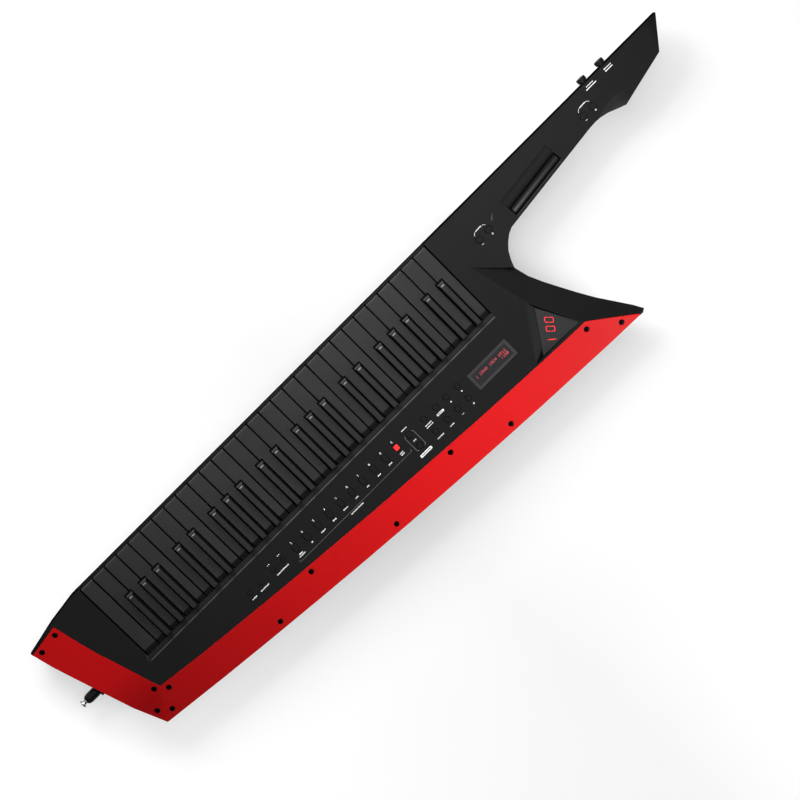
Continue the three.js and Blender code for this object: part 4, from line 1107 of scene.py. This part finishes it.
bm = bmesh.new()
read = Vector((math.cos(math.radians(54)), math.sin(math.radians(54))))
rise = Vector((math.cos(math.radians(136)), math.sin(math.radians(136))))


def segment(cx, cy, a, b, t):
    """A bar with pointed ends from a to b in the digit's own frame (reading direction, rise)."""
    a, b = Vector(a), Vector(b)
    d = (b - a).normalized()
    n = Vector((-d.y, d.x))
    a2, b2 = a + d * 0.16, b - d * 0.16
    e = (b - a).length * 0.3 if t > 1.5 else t / 2
    pts = [a2, a2 + d * e - n * t / 2, b2 - d * e - n * t / 2, b2, b2 - d * e + n * t / 2, a2 + d * e + n * t / 2]
    pts = [(cx + read.x * p.x + rise.x * p.y, cy + read.y * p.x + rise.y * p.y) for p in pts]
    area2 = sum(pts[i - 1][0] * pts[i][1] - pts[i][0] * pts[i - 1][1] for i in range(len(pts)))
    if area2 < 0:
        pts.reverse()
    slab(bm, pts, 0.72, 0.80, place=on_triangle)


HW, HH = 3.5, 6.1
for cx, cy, on in ((223.3, -60.5, "abcdef"), (216.0, -71.2, "abcdef"), (207.2, -84.0, "i")):
    corners = {"a": ((-HW, HH), (HW, HH)), "b": ((HW, HH), (HW, 0)), "c": ((HW, 0), (HW, -HH)), "d": ((-HW, -HH), (HW, -HH)), "e": ((-HW, 0), (-HW, -HH)),
               "f": ((-HW, HH), (-HW, 0)), "g": ((-HW, 0), (HW, 0)), "i": ((-0.7, 8.2), (0.7, -8.2))}
    for s in on:
        segment(cx, cy, *corners[s], 1.7 if s == "i" else 1.25)
finish_mesh("triangle_digits", bm, LED, "root")

# ------------------------------------------------------------------ touch strip on the neck
BAR_C, BAR_ANGLE = Vector((342.2, 91.0)), 0.1195
slope = math.atan2(1.2, 14.4)


def on_slope(s, t, h):
    """s along the bar, t up the slope from its lower edge, h above it."""
    across = 6.4 + t * math.cos(slope) - h * math.sin(slope)
    z = 75.0 + t * math.sin(slope) + h * math.cos(slope)
    x = BAR_C.x + s * math.cos(BAR_ANGLE) - across * math.sin(BAR_ANGLE)
    y = BAR_C.y + s * math.sin(BAR_ANGLE) + across * math.cos(BAR_ANGLE)
    return (x * MM, y * MM, z * MM)


# the strip bows up a little across its width
bm = bmesh.new()
rings = []
for s, drop in ((-49.8, 0.16), (-49.7, 0.05), (-49.45, 0.0), (0.0, 0.0), (49.45, 0.0), (49.7, 0.05), (49.8, 0.16)):
    ring = [on_slope(s, 14.0, 0.02), on_slope(s, 0.5, 0.02)]
    for k in range(15):
        t = 0.5 + 13.5 * k / 14
        bow = 1.15 * (1 - ((t - 7.25) / 6.75) ** 2)
        ring.append(on_slope(s, t, max(0.1, 0.25 + bow - drop)))
    rings.append(ring)
loft(bm, rings)
finish_mesh("touch_strip", bm, RIBBON, "root", smooth=35)

# ------------------------------------------------------------------ the half-round bar
bm = bmesh.new()
rings = []
L, W, SIDE, TOP = 96.4 / 2, 11.6 / 2, 75.6, 79.4
for s, k in ((-L, 0.80), (-L + 0.08, 0.88), (-L + 0.35, 0.955), (-L + 0.9, 1.0), (0.0, 1.0), (L - 0.9, 1.0), (L - 0.35, 0.955), (L - 0.08, 0.88), (L, 0.80)):
    ring = [(-W * (0.9 + 0.1 * k), 68.0), (W * (0.9 + 0.1 * k), 68.0)]
    for j in range(25):
        a = math.pi * j / 24
        ring.append((W * (0.9 + 0.1 * k) * math.cos(a), SIDE + (TOP - SIDE) * k * math.sin(a)))
    ca, sa = math.cos(BAR_ANGLE), math.sin(BAR_ANGLE)
    rings.append([((BAR_C.x + s * ca - c * sa) * MM, (BAR_C.y + s * sa + c * ca) * MM, z * MM) for c, z in ring])
loft(bm, rings)
bar = finish_mesh("half_round_bar", bm, BAR, "modulation_bar", smooth=35)
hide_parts("modulation_bar")

# ------------------------------------------------------------------ the back: battery cover and socket plate
def below(x, y, h):
    """h counts upwards into the case from the floor; the piece's outer face looks down."""
    return (x * MM, y * MM, h * MM)


def down_plate(bm, ring, z_out, z_in, bevel, steps=3):
    rings = [[(x * MM, y * MM, z_in * MM) for x, y in ring]]
    for k in range(steps + 1):
        a = math.pi / 2 * k / steps
        r = inward(ring, bevel * (1 - math.cos(a))) if k else ring
        rings.append([(x * MM, y * MM, (z_out + bevel - bevel * math.sin(a)) * MM) for x, y in r])
    loft(bm, rings)


bm = bmesh.new()
down_plate(bm, rect(-119.3, 69.3, -69.3, 5.3, 3.0, 5), 0.35, 2.38, 0.4)
for i in range(9):
    x = 34.0 + i * 2.6
    down_plate(bm, rect(x, x + 1.3, -52.0, -12.0, 0.6, 3), 0.05, 0.5, 0.25, 2)
finish_mesh("battery_cover", bm, CASE_BACK, "root", smooth=40)

bm = bmesh.new()
down_plate(bm, rect(-435.3, -276.7, -43.3, -10.7, 2.0, 5), 1.9, 3.55, 0.3)
finish_mesh("socket_plate", bm, CONTROL, "root", smooth=40)


def tube(bm, x, y, r_out, r_in, z_out, z_in, n=40, hexed=False):
    rings = []
    prof = [(r_out, z_in), (r_out, z_out + 0.25), (r_out - 0.25, z_out), (r_in + 0.2, z_out), (r_in, z_out + 0.2), (r_in, z_in - 0.05)]
    for j, (r, z) in enumerate(prof):
        ring = []
        for i in range(n):
            a = 2 * math.pi * i / n
            rr = r
            if hexed and j < 3:
                rr = r / math.cos(a % (math.pi / 3) - math.pi / 6)
            ring.append(((x + rr * math.cos(a)) * MM, (y + rr * math.sin(a)) * MM, z * MM))
        rings.append(ring)
    loft(bm, rings)


for i, x in enumerate((-420.0, -396.0, -372.0)):
    bm = bmesh.new()
    tube(bm, x, -27.0, 6.2, 3.3, 0.35, 1.95, 48, True)
    finish_mesh("jack_nut_%d" % (i + 1), bm, STEEL, "root", smooth=34)
    bm = bmesh.new()
    lathe(bm, [(3.2, 1.5), (3.2, 1.86), (2.9, 1.88)], 32)
    finish_mesh("jack_hole_%d" % (i + 1), bm, HOLE, "root", frame_matrix((x * MM, -27.0 * MM, 0), (1, 0, 0), (0, 0, 1)))
bm = bmesh.new()
tube(bm, -344.0, -27.0, 8.6, 6.9, 0.6, 1.95, 56)
finish_mesh("round_socket", bm, CONTROL, "root", smooth=34)
bm = bmesh.new()
for k in range(5):
    a = math.radians(90 + (k - 2) * 45)
    x, y = -344.0 + 4.0 * math.cos(a), -27.0 + 4.0 * math.sin(a)
    ring = [(x + 0.75 * math.cos(2 * math.pi * j / 12), y + 0.75 * math.sin(2 * math.pi * j / 12)) for j in range(12)]
    down_plate(bm, ring, 1.55, 1.95, 0.1, 1)
finish_mesh("round_socket_contacts", bm, STEEL, "root", smooth=34)
bm = bmesh.new()
outer = rect(-323.0, -309.0, -33.5, -20.5, 1.0, 3)
inner = rect(-321.4, -310.6, -31.9, -22.1, 0.8, 3)
rings = [[(x * MM, y * MM, z * MM) for x, y in ring] for ring, z in ((outer, 1.95), (outer, 0.8), (inner, 0.8), (inner, 1.9))]
loft(bm, rings)
finish_mesh("square_socket", bm, STEEL, "root", smooth=34)
bm = bmesh.new()
tube(bm, -291.0, -27.0, 5.0, 2.8, 0.6, 1.95, 40)
finish_mesh("power_socket", bm, CONTROL, "root", smooth=34)
bm = bmesh.new()
lathe(bm, [(1.0, 0.9), (1.05, 1.0), (1.05, 1.95)], 20)
finish_mesh("power_socket_pin", bm, STEEL, "root", frame_matrix((-291.0 * MM, -27.0 * MM, 0), (1, 0, 0), (0, 0, 1)), smooth=34)

# screws in the back's counterbores
CASE_SCREWS = [(-520, 88), (-300, 100), (-60, 100), (160, 100), (-490, -20), (-210, -52), (-150, -20), (100, -30), (196, -84), (110, -84)]
for k, (x, y) in enumerate(CASE_SCREWS):
    turned = random.Random(100 + k).uniform(0, math.pi / 3)
    m = frame_matrix((x * MM, y * MM, 0.0), (math.cos(turned), math.sin(turned), 0), (0, 0, -1))
    socket_screw("case_screw_%02d" % (k + 1), m, 3.1, -0.35, -2.15, 1.15)

# strap button under the neck: a steel sleeve over the moulded pin
m = frame_matrix((312.0 * MM, 108.0 * MM, 33.2 * MM), (1, 0, 0), (0, 0, -1))
bm = bmesh.new()
lathe(bm, [(6.4, -0.1), (6.6, 0.15), (6.4, 0.5), (4.2, 1.0), (3.75, 1.8), (3.75, 6.4), (4.2, 7.6), (5.8, 8.3), (6.3, 8.8), (6.35, 11.0), (6.1, 11.7), (5.2, 12.0), (2.2, 12.05), (1.9, 11.6), (0.9, 11.55)], 48)
finish_mesh("neck_strap_button", bm, STEEL, "root", m, smooth=40)

# ------------------------------------------------------------------ sizes and the end
low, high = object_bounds()
